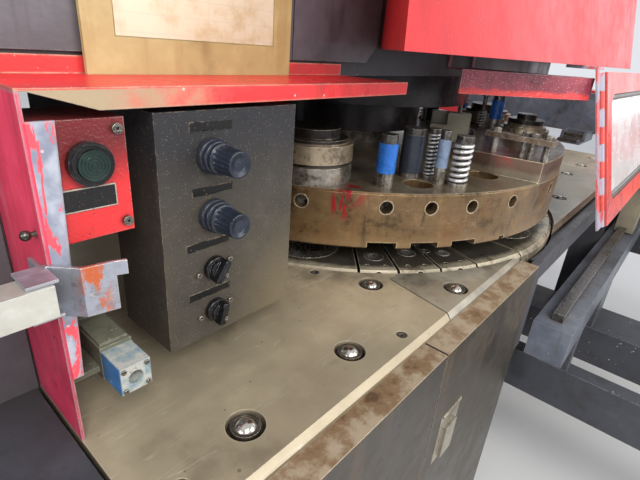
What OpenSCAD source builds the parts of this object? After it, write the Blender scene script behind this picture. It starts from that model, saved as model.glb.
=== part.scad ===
// Turret punch press with a C-shaped frame, in millimetres.
// The origin is on the floor, under the axis of the turret. The column is at -X, the throat opens to +X,
// and the tool change side with the guard, the switch boxes and the door is at -Y.

/* [Frame] */
// Height of the table top above the floor
table_h = 880; // [800:10:980]
// Distance from the turret axis to the face of the column
throat_x = 856; // [800:4:900]
// Length of the column
column_len = 1100; // [900:20:1400]
// Width of the frame
frame_w = 600; // [560:20:600]
// Height of the upper arm's underside over the table
arm_gap = 300; // [290:2:310]
// Height of the upper arm
arm_h = 700; // [600:20:800]
// Reach of the upper arm past the turret axis
arm_reach = 620; // [600:10:660]
// Depth of the lower arm's top under the table
lower_drop = 240; // [220:5:280]
// Reach of the lower arm past the turret axis
lower_reach = 760; // [700:10:800]
// Thickness of the frame's webs
web_t = 40; // [30:2:50]
// Thickness of the frame's side plates
side_t = 30; // [20:2:40]
// Height of the levelling feet
foot_h = 100; // [80:5:120]
// Diameter of a levelling foot
foot_d = 150; // [120:10:180]
// Diameter of a floor bolt's hole in a foot
foot_bolt_d = 26; // [20:1:32]
// Thickness of the dark cover panels on the frame
panel_t = 3; // [2:0.5:4]

/* [Hood] */
// Height of the hood's lower edge over the table
hood_gap = 340; // [338:1:350]
// Height of the hood
hood_h = 700; // [680:10:800]
// Half width of the hood at its lower edge
hood_half = 505; // [480:5:520]
// How far the hood's long faces lean in over their height
hood_lean = 160; // [60:5:200]
// Thickness of the hood's sheet
hood_t = 4; // [3:0.5:5]
// X of the hood's corner at the frame
hood_back_x = -310; // [-330:2:-300]
// X of the hood's left front corner
hood_left_x = -575; // [-600:5:-550]
// X of the hood's right front corner
hood_right_x = 660; // [640:5:700]

/* [Upper turret] */
// Radius of the upper turret
turret_r = 528; // [520:1:534]
// Gap between the upper turret and the table
sheet_gap = 34; // [30:1:38]
// Thickness of the upper turret
turret_t = 98; // [90:1:110]
// Height of the raised pad on the upper turret
pad_h = 38; // [30:1:44]
// Angle at which the pad's ring starts, before its straight end is cut
pad_from = 252; // [251:0.5:254]
// Angle that the pad covers
pad_span = 68; // [60:1:69]
// Inner radius of the pad
pad_inner_r = 330; // [320:2:350]
// Angle of the first large station
first_station = 211.5; // [210:0.5:213]
// Diameter of an index hole in the rim
index_d = 22; // [16:1:24]
// Height of the notches in the turret's lower edge
notch_h = 12; // [8:1:16]
// Diameter of the turret shafts
shaft_d = 160; // [140:5:180]

/* [Stations] */
// Radius of the large stations' pitch circle
large_r = 455; // [450:1:458]
// Diameter of a large station's tool
large_d = 138; // [130:1:142]
// Diameter of a large station's bore
large_bore_d = 110; // [100:1:116]
// Radius of the blue tools' pitch circle
blue_r = 486; // [482:1:490]
// Diameter of a blue canister
blue_d = 32; // [28:0.5:34]
// Radius of the dark tools' pitch circle
dark_r = 420; // [416:1:424]
// Diameter of a dark canister
dark_d = 40; // [36:0.5:42]
// Radius of the inner pair's pitch circle
pair_in_r = 433; // [430:1:436]
// Radius of the outer pair's pitch circle
pair_out_r = 467; // [465:1:470]
// Diameter of a slim tool
slim_d = 22; // [18:0.5:23]
// Radius of the big spring tools' pitch circle
spring_r = 482; // [478:1:486]
// Diameter of a big spring tool
spring_d = 35; // [32:0.5:36]
// Diameter of an open station's bore
open_d = 52; // [40:1:54]
// Radius of the open stations' pitch circle
open_r = 470; // [468:1:474]
// Diameter of a medium station's bore
medium_d = 58; // [50:1:62]
// Height of the tools over the turret
tool_h = 92; // [88:1:96]
// Stroke of the ram and of the punch under it
ram_stroke = 34; // [28:1:34]
// Diameter of the ram's striker
striker_d = 28; // [20:1:30]

/* [Lower turret] */
// Radius of the lower turret with its die holders
lower_r = 545; // [540:1:547]
// Thickness of the die holders
holder_t = 45; // [40:1:50]
// Thickness of the lower disc
disc_t = 55; // [45:1:60]
// Width of the slots between die holders
slot_w = 5; // [3:0.5:7]
// Inner radius of the die holders
holder_in_r = 375; // [360:5:380]

/* [Tables] */
// Half width of the fixed table
table_half = 540; // [538:1:545]
// Thickness of the table plates
table_t = 13; // [12:1:16]
// Gap between the lower turret and the table plates
arc_gap = 4; // [3:0.5:6]
// Distance of the front covers from the turret axis
cover_y = 574; // [570:1:580]
// Depth of the ledge under the table top
ledge_drop = 10; // [8:0.5:11]
// X of the outer table's far edge
outer_x = 1230; // [1180:10:1280]
// Diameter of a transfer ball
ball_d = 25.4; // [24:0.1:27]
// Height of a transfer ball over the table
ball_up = 5; // [4:0.5:6]
// Diameter of a ball cup's hole in the table
cup_hole_d = 39.5; // [38:0.5:42]

/* [Guard and boxes] */
// Height of the guard roof over the table
roof_z = 301; // [301:1:306]
// X of the roof's right end
roof_end_x = -382; // [-420:2:-370]
// Distance of the guard's front edge from the turret axis
guard_y = 400; // [396:1:404]
// Width of the pressure box
box_w = 164; // [150:2:170]
// Height of the pressure box
box_h = 237; // [220:1:238]
// Depth of the pressure box
box_dep = 88; // [70:1:92]
// X of the pressure box's left side
box_x = -761; // [-766:1:-756]
// Height of the pressure box's underside over the table
box_z = 43; // [42:1:50]
// Width of the jog box
jog_w = 68; // [60:1:72]
// Height of the jog box
jog_h = 92; // [84:1:96]
// Diameter of a regulator knob's base
knob_d = 33; // [28:1:38]
// Length of a regulator knob
knob_len = 42; // [36:1:46]
// Diameter of a selector's dial
selector_d = 26; // [22:1:30]
// Width of the chart sleeve
chart_w = 248; // [220:4:260]
// Height of the chart sleeve
chart_h = 380; // [300:5:420]
// Stroke of the jog button
jog_stroke = 4; // [3:0.5:5]

/* [Door and carriage] */
// X of the door's hinge
hinge_x = 156; // [150:2:170]
// Tilt of the door and its hinge
door_tilt = 16.3; // [12:0.1:18]
// Width of the door
door_w = 680; // [600:10:680]
// Length of the door along its tilt
door_len = 324; // [300:1:324]
// Distance of the hinge's foot from the turret axis
door_foot_y = 619; // [615:1:625]
// Height of the door's lower edge over the table
door_z = 18; // [16:1:24]
// Stroke of the carriage along X
carriage_stroke = 800; // [700:10:800]
// Travel of the cross slide to each side
cross_travel = 600; // [500:10:620]
// Depth of the rail beams' top under the table
rail_drop = 200; // [190:2:220]
// Distance of the rail beams from the turret axis
rail_y = 609; // [609:1:615]
// Width of the rail beams
rail_w = 82; // [76:1:86]
// Half width of the machine over the wing tables
wing_half = 1480; // [1300:20:1600]

/* [Hidden] */
$fn = 64;
eps = 0.5;
seat_gap = 0.3;
fit = 0.1;
steel = [0.55, 0.53, 0.49];
dark = [0.20, 0.20, 0.22];
red = [0.80, 0.08, 0.08];
pale = [0.80, 0.76, 0.62];
brown = [0.42, 0.32, 0.20];

column_back = -throat_x - column_len;
lower_top = table_h - lower_drop;
arm_z = table_h + arm_gap;
arm_top = arm_z + arm_h;
frame_half = frame_w / 2;
turret_z = table_h + sheet_gap;
turret_top = turret_z + turret_t;
pad_top = turret_top + pad_h;
tool_top = turret_top + tool_h;
groups = 6;
group_pitch = 360 / groups;
blue_at = 15.1;
dark_at = 23.8;
open_at = 23.2;
pair_at = 28.1;
spring_at = 31.6;
medium_at = 45;
ram_group = 2;
empty_group = 5;
ram_angle = first_station + ram_group * group_pitch + pair_at;
ram_pos = [pair_out_r * cos(ram_angle), pair_out_r * sin(ram_angle)];
holder_ends = [11.3, 18.6, 27.0, 35.2, 48.4];
arc_r = lower_r + arc_gap;
holder_z = table_h - holder_t;
disc_z = holder_z - disc_t;
stem_share = 0.5;
blue_shank = blue_d - 6;
dark_shank = dark_d - 8;
slim_shank = slim_d - 4;
spring_shank = spring_d - 6;
medium_r = 443;
die_d = 34;
slim_die_d = 18;
spring_die_d = 26;
medium_die_d = 42;
large_die_d = 120;
die_open = 0.62;

// Each die seat of a group: its radius, its angle from the group's first station and its diameter
die_seats = [[blue_r, blue_at, die_d], [dark_r, dark_at, die_d], [open_r, open_at, die_d],
    [pair_out_r, pair_at, slim_die_d], [pair_in_r, pair_at, slim_die_d], [spring_r, spring_at, spring_die_d],
    [medium_r, medium_at, medium_die_d]];

// A box between two corners
module slab(lo, hi) {
    translate(lo) cube(hi - lo);
}

// A shape and its copy on the other side of the XZ plane
module both_sides() {
    children();
    mirror([0, 1, 0]) children();
}

// Children at a place on the turret, given by radius and angle
module at_station(r, a) {
    translate([r * cos(a), r * sin(a), 0]) children();
}

// A tube
module tube(od, id, h) {
    difference() {
        cylinder(d = od, h = h);
        translate([0, 0, -eps]) cylinder(d = id, h = h + 2 * eps);
    }
}

// A rod along -Y with its head end at the origin
module rod_y(d, len) {
    rotate([-90, 0, 0]) cylinder(d = d, h = len);
}

// Angle of station group k
function group_angle(k) = first_station + k * group_pitch;

// The pad's own group has no punches
function tooled(k) = k != 1;

// The slim station opposite the ram stands empty
function slim_tooled(k) = tooled(k) && k != empty_group;

// Outline of the frame's side, drawn in by t
function frame_outline(t) = [
    [column_back + t, foot_h + t],
    [lower_reach - t, foot_h + t],
    [lower_reach - t, lower_top - t],
    [-throat_x - t, lower_top - t],
    [-throat_x - t, arm_z + t],
    [arm_reach - t, arm_z + t],
    [arm_reach - t, arm_top - t],
    [column_back + t, arm_top - t]];

window_w = 340;
window_h = 560;
window_x = -throat_x - column_len / 2;
arm_window_h = 300;

// Side windows that the cover panels close
module frame_windows() {
    for (z = [foot_h + 160, arm_top - 160 - window_h])
        slab([window_x - window_w / 2, -frame_half - eps, z], [window_x + window_w / 2, frame_half + eps, z + window_h]);
    for (x = [-700, -200])
        slab([x, -frame_half - eps, arm_z + 180], [x + window_w, frame_half + eps, arm_z + 180 + arm_window_h]);
    slab([120, -frame_half - eps, foot_h + 120], [120 + window_w, frame_half + eps, foot_h + 120 + 240]);
}

// Welded C-shaped box frame with its two bearing bores and the ram bore
module c_frame() {
    color(dark) difference() {
        union() {
            difference() {
                rotate([90, 0, 0]) linear_extrude(height = frame_w, center = true) polygon(frame_outline(0));
                rotate([90, 0, 0]) linear_extrude(height = frame_w - 2 * side_t, center = true)
                    polygon(frame_outline(web_t));
                frame_windows();
            }
            translate([ram_pos[0], ram_pos[1], arm_z - boss_drop]) cylinder(d = boss_d, h = boss_h);
        }
        translate([0, 0, arm_z - eps]) cylinder(d = shaft_d + 2 * fit, h = web_t + 2 * eps);
        translate([0, 0, lower_top - web_t - eps]) cylinder(d = shaft_d + 2 * fit, h = web_t + 2 * eps);
        translate([ram_pos[0], ram_pos[1], arm_z - boss_drop - eps]) cylinder(d = rod_d + 2 * fit, h = boss_h + 2 * eps);
    }
}

foot_inset = 110;
foot_xs = [column_back + foot_inset, -throat_x - foot_inset, lower_reach - foot_inset];
foot_row = frame_half - foot_inset;
foot_pad_h = 25;

// Six levelling feet, each a round pad with a screw
module levelling_feet() {
    color(steel) for (x = foot_xs, s = [-1, 1]) translate([x, s * foot_row, 0]) difference() {
        union() {
            cylinder(d = foot_d, h = foot_pad_h);
            translate([0, 0, foot_pad_h]) cylinder(d = foot_d * 0.5, h = foot_h - foot_pad_h);
        }
        translate([0, 0, -eps]) cylinder(d = foot_bolt_d, h = foot_h + 2 * eps);
    }
}

cover_gap = 19;
cover_edge_x = -325;
cover_cut = 26;
cover_seam_x = -511;
seam_w = 2;

// Dark cover panels on the arm and the column, both sides
module frame_covers() {
    low = arm_z + cover_gap;
    color(dark) both_sides() translate([0, -frame_half, 0]) rotate([90, 0, 0]) {
        linear_extrude(height = panel_t) polygon([
            [column_back, foot_h + 40], [-throat_x - seam_w, foot_h + 40],
            [-throat_x - seam_w, arm_top], [column_back, arm_top]]);
        linear_extrude(height = panel_t) polygon([
            [-throat_x, low], [cover_seam_x - seam_w, low], [cover_seam_x - seam_w, arm_top], [-throat_x, arm_top]]);
        linear_extrude(height = panel_t) polygon([
            [cover_seam_x, low], [cover_edge_x - cover_cut, low], [cover_edge_x, low + cover_cut],
            [cover_edge_x, arm_top], [cover_seam_x, arm_top]]);
    }
}

hood_nose = 120;
hood_flank = 60;
hood_lip = 50;

// Outline of the hood in plan, drawn in by t
function hood_plan(t) = [
    [hood_back_x + t, -frame_half],
    [hood_left_x + t * 1.6, -hood_half],
    [hood_right_x - t, -hood_half],
    [hood_right_x + hood_nose - t, -frame_half + hood_flank],
    [hood_right_x + hood_nose - t, frame_half - hood_flank],
    [hood_right_x - t, hood_half],
    [hood_left_x + t * 1.6, hood_half],
    [hood_back_x + t, frame_half]];

// The hood's volume between two heights, drawn in by t: its plan cut to its leaning long faces
module hood_solid(t, z0, z1) {
    intersection() {
        translate([0, 0, z0]) linear_extrude(height = z1 - z0) polygon(hood_plan(t));
        translate([hood_left_x - 20, 0, 0]) rotate([90, 0, 90])
            linear_extrude(height = hood_right_x - hood_left_x + hood_nose + 40) polygon([
                [t - hood_half, z0], [hood_half - t, z0],
                [hood_half - hood_lean - t, z1], [hood_lean + t - hood_half, z1]]);
    }
}

// Red sheet hood over the end of the arm, open below and where the arm passes
module turret_hood() {
    z0 = table_h + hood_gap;
    top = z0 + hood_h;
    color(red) {
        difference() {
            hood_solid(0, z0, top);
            hood_solid(hood_t, z0, top - hood_t);
            slab([hood_left_x, -frame_half, z0 - eps], [hood_back_x + hood_lip + 1, frame_half, arm_top]);
        }
        both_sides() slab([hood_back_x, -frame_half - hood_t, z0], [hood_back_x + hood_lip, -frame_half, arm_top]);
    }
}

rear_x0 = -560;
rear_x1 = 640;
rear_out = 55;
rear_y = hood_half + rear_out;
rear_low = 45;
rear_t = 3;
rear_hang = 70;

// Dark rear guard behind the turret, hung from the hood's lower edge
module rear_guard() {
    z0 = table_h + rear_low;
    z1 = table_h + hood_gap;
    color(dark) {
        slab([rear_x0, rear_y, z0], [rear_x1, rear_y + rear_t, z1]);
        slab([rear_x0, rear_y - rear_hang, z1 - rear_t], [rear_x1, rear_y, z1]);
    }
}

boss_d = 170;
boss_h = 150;
boss_drop = 8;
rod_d = 70;
striker_h = 46;
striker_rest = 1;
rod_len = 190;

// Ram: rod and striker over the punch position
module ram() {
    z = tool_top + striker_rest;
    color(steel) translate([ram_pos[0], ram_pos[1], z]) {
        cylinder(d = striker_d, h = striker_h + 1);
        translate([0, 0, striker_h]) cylinder(d = rod_d, h = arm_z - z + rod_len - striker_h);
    }
}

// Children at each tooled station of one kind
module each_station(r, at) {
    for (k = [0:groups - 1]) if (tooled(k)) at_station(r, group_angle(k) + at) children();
}

// Bores of every station through the turret
module station_bores() {
    for (k = [0:groups - 1]) {
        a = group_angle(k);
        if (tooled(k)) at_station(large_r, a) cylinder(d = large_bore_d, h = bore_len);
        at_station(blue_r, a + blue_at) cylinder(d = blue_shank, h = bore_len);
        at_station(dark_r, a + dark_at) cylinder(d = dark_shank, h = bore_len);
        at_station(open_r, a + open_at) cylinder(d = open_d, h = bore_len);
        at_station(pair_in_r, a + pair_at) cylinder(d = slim_shank, h = bore_len);
        at_station(pair_out_r, a + pair_at) cylinder(d = slim_shank, h = bore_len);
        at_station(spring_r, a + spring_at) cylinder(d = spring_shank, h = bore_len);
        at_station(medium_r, a + medium_at) cylinder(d = medium_d, h = turret_t + 50);
    }
    at_station(pad_blue[0], pad_blue[1]) cylinder(d = blue_shank, h = bore_len);
    at_station(pad_spring[0], pad_spring[1]) cylinder(d = slim_shank, h = bore_len);
}

pad_blue = [400, 312.6];
pad_spring = [370, 314.8];
pad_stack = [455, 303.5];

bore_len = 400;
index_ats = [0, 15, 23.4, 32.0, 42.8];
index_drop = 24;
notch_ats = [15.1, 23.3, 31.8];
small_notch_at = 42;
holder_screw_ats = [14.9, 22.8, 31.1];
notch_w = 50;
small_notch_w = 14;
rim_chamfer = 3;
hub_bore = shaft_d;

// Upper turret disc with its raised pad, station bores, index holes and edge notches
module upper_turret() {
    color(brown) difference() {
        union() {
            translate([0, 0, turret_z]) rotate_extrude($fn = 128) polygon([
                [0, 0], [turret_r - rim_chamfer, 0], [turret_r, rim_chamfer], [turret_r, turret_t - rim_chamfer],
                [turret_r - rim_chamfer, turret_t], [0, turret_t]]);
            translate([0, 0, turret_top - 1]) pad();
        }
        translate([0, 0, turret_z - 50]) station_bores();
        translate([0, 0, turret_z - 1]) cylinder(d = hub_bore + 2 * fit, h = turret_t + 2);
        for (k = [0:groups - 1], at = index_ats) rotate([0, 0, group_angle(k) + at])
            translate([turret_r - 30, 0, turret_top - index_drop]) rotate([0, 90, 0]) cylinder(d = index_d, h = 60);
        for (k = [0:groups - 1], at = notch_ats) rotate([0, 0, group_angle(k) + at])
            slab([turret_r - 26, -notch_w / 2, turret_z - 1], [turret_r + 1, notch_w / 2, turret_z + notch_h]);
        for (k = [0:groups - 1]) rotate([0, 0, group_angle(k) + small_notch_at])
            slab([turret_r - 12, -small_notch_w / 2, turret_z - 1],
                [turret_r + 1, small_notch_w / 2, turret_z + notch_h * 0.7]);
    }
}

pad_corner = [-64, -529];
pad_slant = 8;

// Raised pad: a ring sector whose first end is cut along a straight line
module pad() {
    difference() {
        rotate([0, 0, pad_from]) rotate_extrude(angle = pad_span, $fn = 128) translate([pad_inner_r, 0])
            square([turret_r - pad_inner_r - 1, pad_h + 1]);
        translate([pad_corner[0], pad_corner[1], -1]) rotate([0, 0, pad_slant]) translate([-300, -60, 0])
            cube([300, 400, pad_h + 3]);
    }
}

flange_h = 24;

// Upper turret shaft with its flange on the disc, running in the arm
module upper_shaft() {
    color(steel) {
        translate([0, 0, turret_z]) cylinder(d = hub_bore, h = arm_z + web_t - turret_z);
        translate([0, 0, turret_top]) cylinder(d = shaft_d + 90, h = flange_h);
    }
}

bearing_d = 600;
bearing_h = 62;
neck_d = 380;
neck_drop = 70;
lower_seat_d = 480;

// Dark bearing housings: under the arm round the upper shaft, and on the lower arm
module turret_bearings() {
    color(dark) {
        difference() {
            union() {
                translate([0, 0, arm_z - bearing_h]) cylinder(d = bearing_d, h = bearing_h);
                translate([0, 0, arm_z - bearing_h - neck_drop]) cylinder(d = neck_d, h = neck_drop + 1);
            }
            translate([0, 0, arm_z - 200]) cylinder(d = shaft_d + 2 * fit, h = 201);
        }
        translate([0, 0, lower_top]) difference() {
            union() {
                cylinder(d = lower_seat_d, h = 30);
                cylinder(d = shaft_d + 160, h = disc_z - lower_top);
            }
            translate([0, 0, -1]) cylinder(d = shaft_d + 2 * fit, h = disc_z - lower_top + 2);
        }
    }
}

blue_collar_h = 24;
blue_head_h = 14;
dark_collar_h = 9;
dark_head_h = 11;
slim_collar_h = 29;
slim_head_h = 15;
spring_collar_h = 6;
spring_head_h = 12;
slim_spring_head_h = 8;
drum_h = 28;
tip_up = 3;

// Steel guide: a shank in the turret's bore, a collar on its top and a bore for the punch
module guide(shank_d, collar_d, collar_h, stem_d) {
    difference() {
        union() {
            translate([0, 0, turret_z]) cylinder(d = shank_d - 2 * fit, h = turret_t);
            translate([0, 0, turret_top]) cylinder(d = collar_d, h = collar_h);
        }
        translate([0, 0, turret_z - 1]) cylinder(d = stem_d + 2 * fit, h = turret_t + collar_h + 2);
    }
}

// Guides of every punch, with the drums of the large stations
module punch_guides() {
    color(steel) {
        each_station(blue_r, blue_at) guide(blue_shank, blue_d - 3, blue_collar_h, blue_d * stem_share);
        each_station(dark_r, dark_at) guide(dark_shank, dark_d - 4, dark_collar_h, dark_d * stem_share);
        each_station(pair_in_r, pair_at) guide(slim_shank, slim_d, spring_collar_h, slim_d * stem_share);
        for (k = [0:groups - 1]) if (slim_tooled(k)) at_station(pair_out_r, group_angle(k) + pair_at)
            guide(slim_shank, slim_d - 1, slim_collar_h, slim_d * stem_share);
        each_station(spring_r, spring_at) guide(spring_shank, spring_d, spring_collar_h, spring_d * stem_share);
        each_station(large_r, 0) guide(large_bore_d, large_d, drum_h, large_d * stem_share);
        at_station(pad_blue[0], pad_blue[1]) translate([0, 0, pad_h])
            guide(blue_shank, blue_d - 3, blue_collar_h, blue_d * stem_share);
        at_station(pad_spring[0], pad_spring[1]) translate([0, 0, pad_h])
            guide(slim_shank, slim_d, spring_collar_h, slim_d * stem_share);
    }
}

// Punch: a stem down to the lower edge of the turret and a head on top
module punch(stem_d, head_d, head_h, top) {
    translate([0, 0, turret_z + tip_up]) cylinder(d = stem_d, h = top - turret_z - tip_up);
    translate([0, 0, top - head_h]) cylinder(d = head_d, h = head_h);
}

blue_top = tool_top - 6;
dark_top = tool_top - 5;
spring_top = tool_top - 6;

// The slim punch that the ram drives down
module driven_punch() {
    color(steel) translate([ram_pos[0], ram_pos[1], 0])
        punch(slim_d * stem_share, slim_d - 4, slim_head_h, tool_top);
}

// Every other punch
module punches() {
    color(steel) {
        each_station(blue_r, blue_at) punch(blue_d * stem_share, blue_d - 3, blue_head_h, blue_top);
        at_station(pad_blue[0], pad_blue[1]) translate([0, 0, pad_h])
            punch(blue_d * stem_share, blue_d - 3, blue_head_h, blue_top);
        at_station(pad_spring[0], pad_spring[1]) translate([0, 0, pad_h])
            punch(slim_d * stem_share, slim_d, slim_spring_head_h, spring_top);
        each_station(dark_r, dark_at) punch(dark_d * stem_share, dark_d, dark_head_h, dark_top);
        each_station(spring_r, spring_at) punch(spring_d * stem_share, spring_d - 5, spring_head_h, spring_top);
        each_station(pair_in_r, pair_at) punch(slim_d * stem_share, slim_d, slim_spring_head_h, spring_top + 3);
        for (k = [0:groups - 1]) if (slim_tooled(k) && k != ram_group)
            at_station(pair_out_r, group_angle(k) + pair_at)
                punch(slim_d * stem_share, slim_d - 4, slim_head_h, tool_top);
    }
}

// Canister round a punch, from a collar to the head
module canister(d, stem_d, collar_h, top) {
    z = turret_top + collar_h;
    translate([0, 0, z]) tube(d, stem_d + 1, top - z);
}

// Blue spring canisters
module blue_canisters() {
    color([0.10, 0.25, 0.65]) {
        each_station(blue_r, blue_at) canister(blue_d, blue_d * stem_share, blue_collar_h, blue_top - blue_head_h);
        at_station(pad_blue[0], pad_blue[1]) translate([0, 0, pad_h])
            canister(blue_d, blue_d * stem_share, blue_collar_h, blue_top - blue_head_h);
    }
}

// Dark spring canisters
module dark_canisters() {
    color(dark) each_station(dark_r, dark_at)
        canister(dark_d, dark_d * stem_share, dark_collar_h, dark_top - dark_head_h);
}

// Pale blue canisters of the slim tools
module pale_canisters() {
    color([0.45, 0.58, 0.75]) for (k = [0:groups - 1]) if (slim_tooled(k) && k != ram_group)
        at_station(pair_out_r, group_angle(k) + pair_at)
            canister(slim_d, slim_d * stem_share, slim_collar_h, tool_top - slim_head_h);
}

// Open coil springs of the spring tools
module punch_springs() {
    z = turret_top + spring_collar_h;
    color([0.75, 0.72, 0.62]) {
        each_station(spring_r, spring_at) translate([0, 0, z])
            spring_solid(spring_d - 1, 6.5, spring_d * stem_share, spring_top - spring_head_h - z);
        each_station(pair_in_r, pair_at) translate([0, 0, z])
            spring_solid(slim_d - 1, 4.4, slim_d * stem_share, spring_top + 3 - slim_spring_head_h - z);
        at_station(pad_spring[0], pad_spring[1]) translate([0, 0, z + pad_h])
            spring_solid(slim_d - 1, 4.4, slim_d * stem_share, spring_top - slim_spring_head_h - z);
    }
}

// Spring of the driven punch, which its head presses
module driven_spring() {
    z = turret_top + slim_collar_h;
    color([0.75, 0.72, 0.62]) translate([ram_pos[0], ram_pos[1], z])
        spring_solid(slim_d - 1, 4.4, slim_d * stem_share, tool_top - slim_head_h - z);
}

// A spring's turns of wire, joined by a thin sleeve round the stem
module spring_solid(d, wire, stem_d, len) {
    turns = floor(len / (wire * 1.6));
    bore_r = stem_d / 2 + 0.5;
    rotate_extrude() {
        translate([bore_r, 0]) square([(d - wire) / 2 - bore_r, len]);
        for (i = [0:turns - 1]) translate([(d - wire) / 2, wire / 2 + i * (len - wire) / (turns - 1)])
            circle(d = wire, $fn = 24);
    }
}

band_h = 29;
groove_h = 6;
cap_d = 90;
cap_h = 15;
ring_h = 7;
stack_steps = [[116, 16], [100, 22], [84, 38], [46, 50]];

// Heads of the large station tools: groove, pale band, ring and cap, turned as one
module large_punches() {
    r = large_d / 2;
    color(pale) each_station(large_r, 0) {
        translate([0, 0, turret_top + drum_h]) rotate_extrude() polygon([
            [0, 0], [r - 4, 0], [r - 4, groove_h], [r, groove_h], [r, groove_h + band_h],
            [r - 9, groove_h + band_h], [r - 9, groove_h + band_h + ring_h],
            [cap_d / 2, groove_h + band_h + ring_h], [cap_d / 2, groove_h + band_h + ring_h + cap_h],
            [0, groove_h + band_h + ring_h + cap_h]]);
        translate([0, 0, turret_z + tip_up]) cylinder(d = large_d * stem_share, h = turret_t + drum_h - tip_up);
    }
    color(steel) at_station(pad_stack[0], pad_stack[1]) translate([0, 0, pad_top]) {
        for (s = stack_steps) cylinder(d = s[0], h = s[1]);
    }
}

bar_z = 30;
bar_len = 128;
bar_w = 22;
bar_t = 10;
bar_mid = [-50, -466];
bar_turn = 90;
bolt_ds = [-52, -26, -10, 46];
bolt_stem = 9;
block_size = [44, 96, 74];
block_mid = [160, -222];
block_turn = 26;

// Flat bar held over the pad on posts
module clamp_bar() {
    color(brown) translate([bar_mid[0], bar_mid[1], pad_top + bar_z]) rotate([0, 0, bar_turn]) difference() {
        translate([-bar_len / 2, -bar_w / 2, 0]) cube([bar_len, bar_w, bar_t]);
        for (x = bolt_ds) translate([x, 0, -1]) cylinder(d = bolt_stem + 2 * fit, h = bar_t + 2);
    }
}

// Posts of the bar, with collars under it and heads over it
module bar_bolts() {
    color(steel) translate([bar_mid[0], bar_mid[1], pad_top]) rotate([0, 0, bar_turn]) for (x = bolt_ds)
        translate([x, 0, 0]) {
            cylinder(d = bolt_stem, h = bar_z + bar_t + 8);
            cylinder(d = bolt_stem + 4, h = bar_z);
            translate([0, 0, bar_z + bar_t]) cylinder(d = bolt_stem + 7, h = 7, $fn = 6);
        }
}

// Pale L-shaped block on the turret's inner part, with a ring bolt
module index_block() {
    color(pale) translate([block_mid[0], block_mid[1], turret_top]) rotate([0, 0, block_turn]) {
        difference() {
            translate([-block_size[0] / 2, -block_size[1] / 2, 0]) cube(block_size);
            translate([-block_size[0] / 2 - 1, 8, block_size[2] - 30]) cube([block_size[0] / 2, block_size[1], 40]);
        }
        translate([4, -20, block_size[2]]) {
            cylinder(d = 10, h = 8);
            translate([0, 0, 14]) rotate([90, 0, 0]) rotate_extrude() translate([9, 0]) circle(d = 6, $fn = 24);
        }
    }
}

// Lower turret: a disc cast with its hub and shaft
module lower_turret() {
    color(brown) translate([0, 0, disc_z]) difference() {
        union() {
            cylinder(r = lower_r - 40, h = disc_t, $fn = 128);
            translate([0, 0, lower_top - web_t - disc_z]) cylinder(d = shaft_d, h = disc_z - lower_top + web_t + 1);
            cylinder(d = shaft_d + 90, h = disc_t + 20);
        }
        for (k = [0:groups - 1]) translate([0, 0, -1]) {
            at_station(large_r, group_angle(k)) cylinder(d = large_bore_d * 0.7, h = disc_t + 2);
            for (s = die_seats) at_station(s[0], group_angle(k) + s[1]) cylinder(d = s[2] * die_open + 2, h = disc_t + 2);
        }
    }
}

// Die holders: a ring cut by radial slots, with die seats and screw recesses
module die_holders() {
    color(pale) translate([0, 0, holder_z]) difference() {
        rotate_extrude($fn = 128) polygon([
            [holder_in_r, 0], [lower_r - 6, 0], [lower_r, 6], [lower_r, holder_t - 7],
            [lower_r - 7, holder_t], [holder_in_r, holder_t]]);
        for (k = [0:groups - 1], at = holder_ends) rotate([0, 0, group_angle(k) + at])
            translate([holder_in_r - 10, -slot_w / 2, -1]) cube([lower_r, slot_w, holder_t + 2]);
        for (k = [0:groups - 1]) {
            a = group_angle(k);
            at_station(large_r, a) translate([0, 0, -1]) cylinder(d = large_die_d, h = holder_t + 2);
            for (s = die_seats) at_station(s[0], a + s[1]) translate([0, 0, -1])
                cylinder(d = s[2] + 2 * fit, h = holder_t + 2);
            for (at = holder_screw_ats) rotate([0, 0, a + at]) {
                translate([lower_r - 7, 0, holder_t - 12]) rotate([0, 90, 0]) cylinder(d = 20, h = 20);
                for (s = [-1, 1]) translate([lower_r - 24, s * 16, holder_t - 8]) cylinder(d = 7, h = 20);
            }
        }
    }
}

// Dies in their seats, each with its opening
module dies() {
    color(steel) translate([0, 0, holder_z]) for (k = [0:groups - 1]) {
        a = group_angle(k);
        at_station(large_r, a) tube(large_die_d - 2 * fit, large_d * stem_share + 3, holder_t + 0.5);
        for (s = die_seats) at_station(s[0], a + s[1]) tube(s[2], s[2] * die_open, holder_t + 0.5);
    }
}

tube_s = 50;
seat_bar_h = 24;
seat_bar_w = 110;
leg_s = 80;
rail_t = 14;
frame_rail_h = 200;
ledge_t = 3;
cover_t = 3;
cover_end_x = -105;
cover_split_x = -480;
frame_top = table_h - table_t;
inner_rail_y = cover_y - cover_t - seat_gap;
tube_x0 = -60;
leg_xs = [755, 1150];

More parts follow.
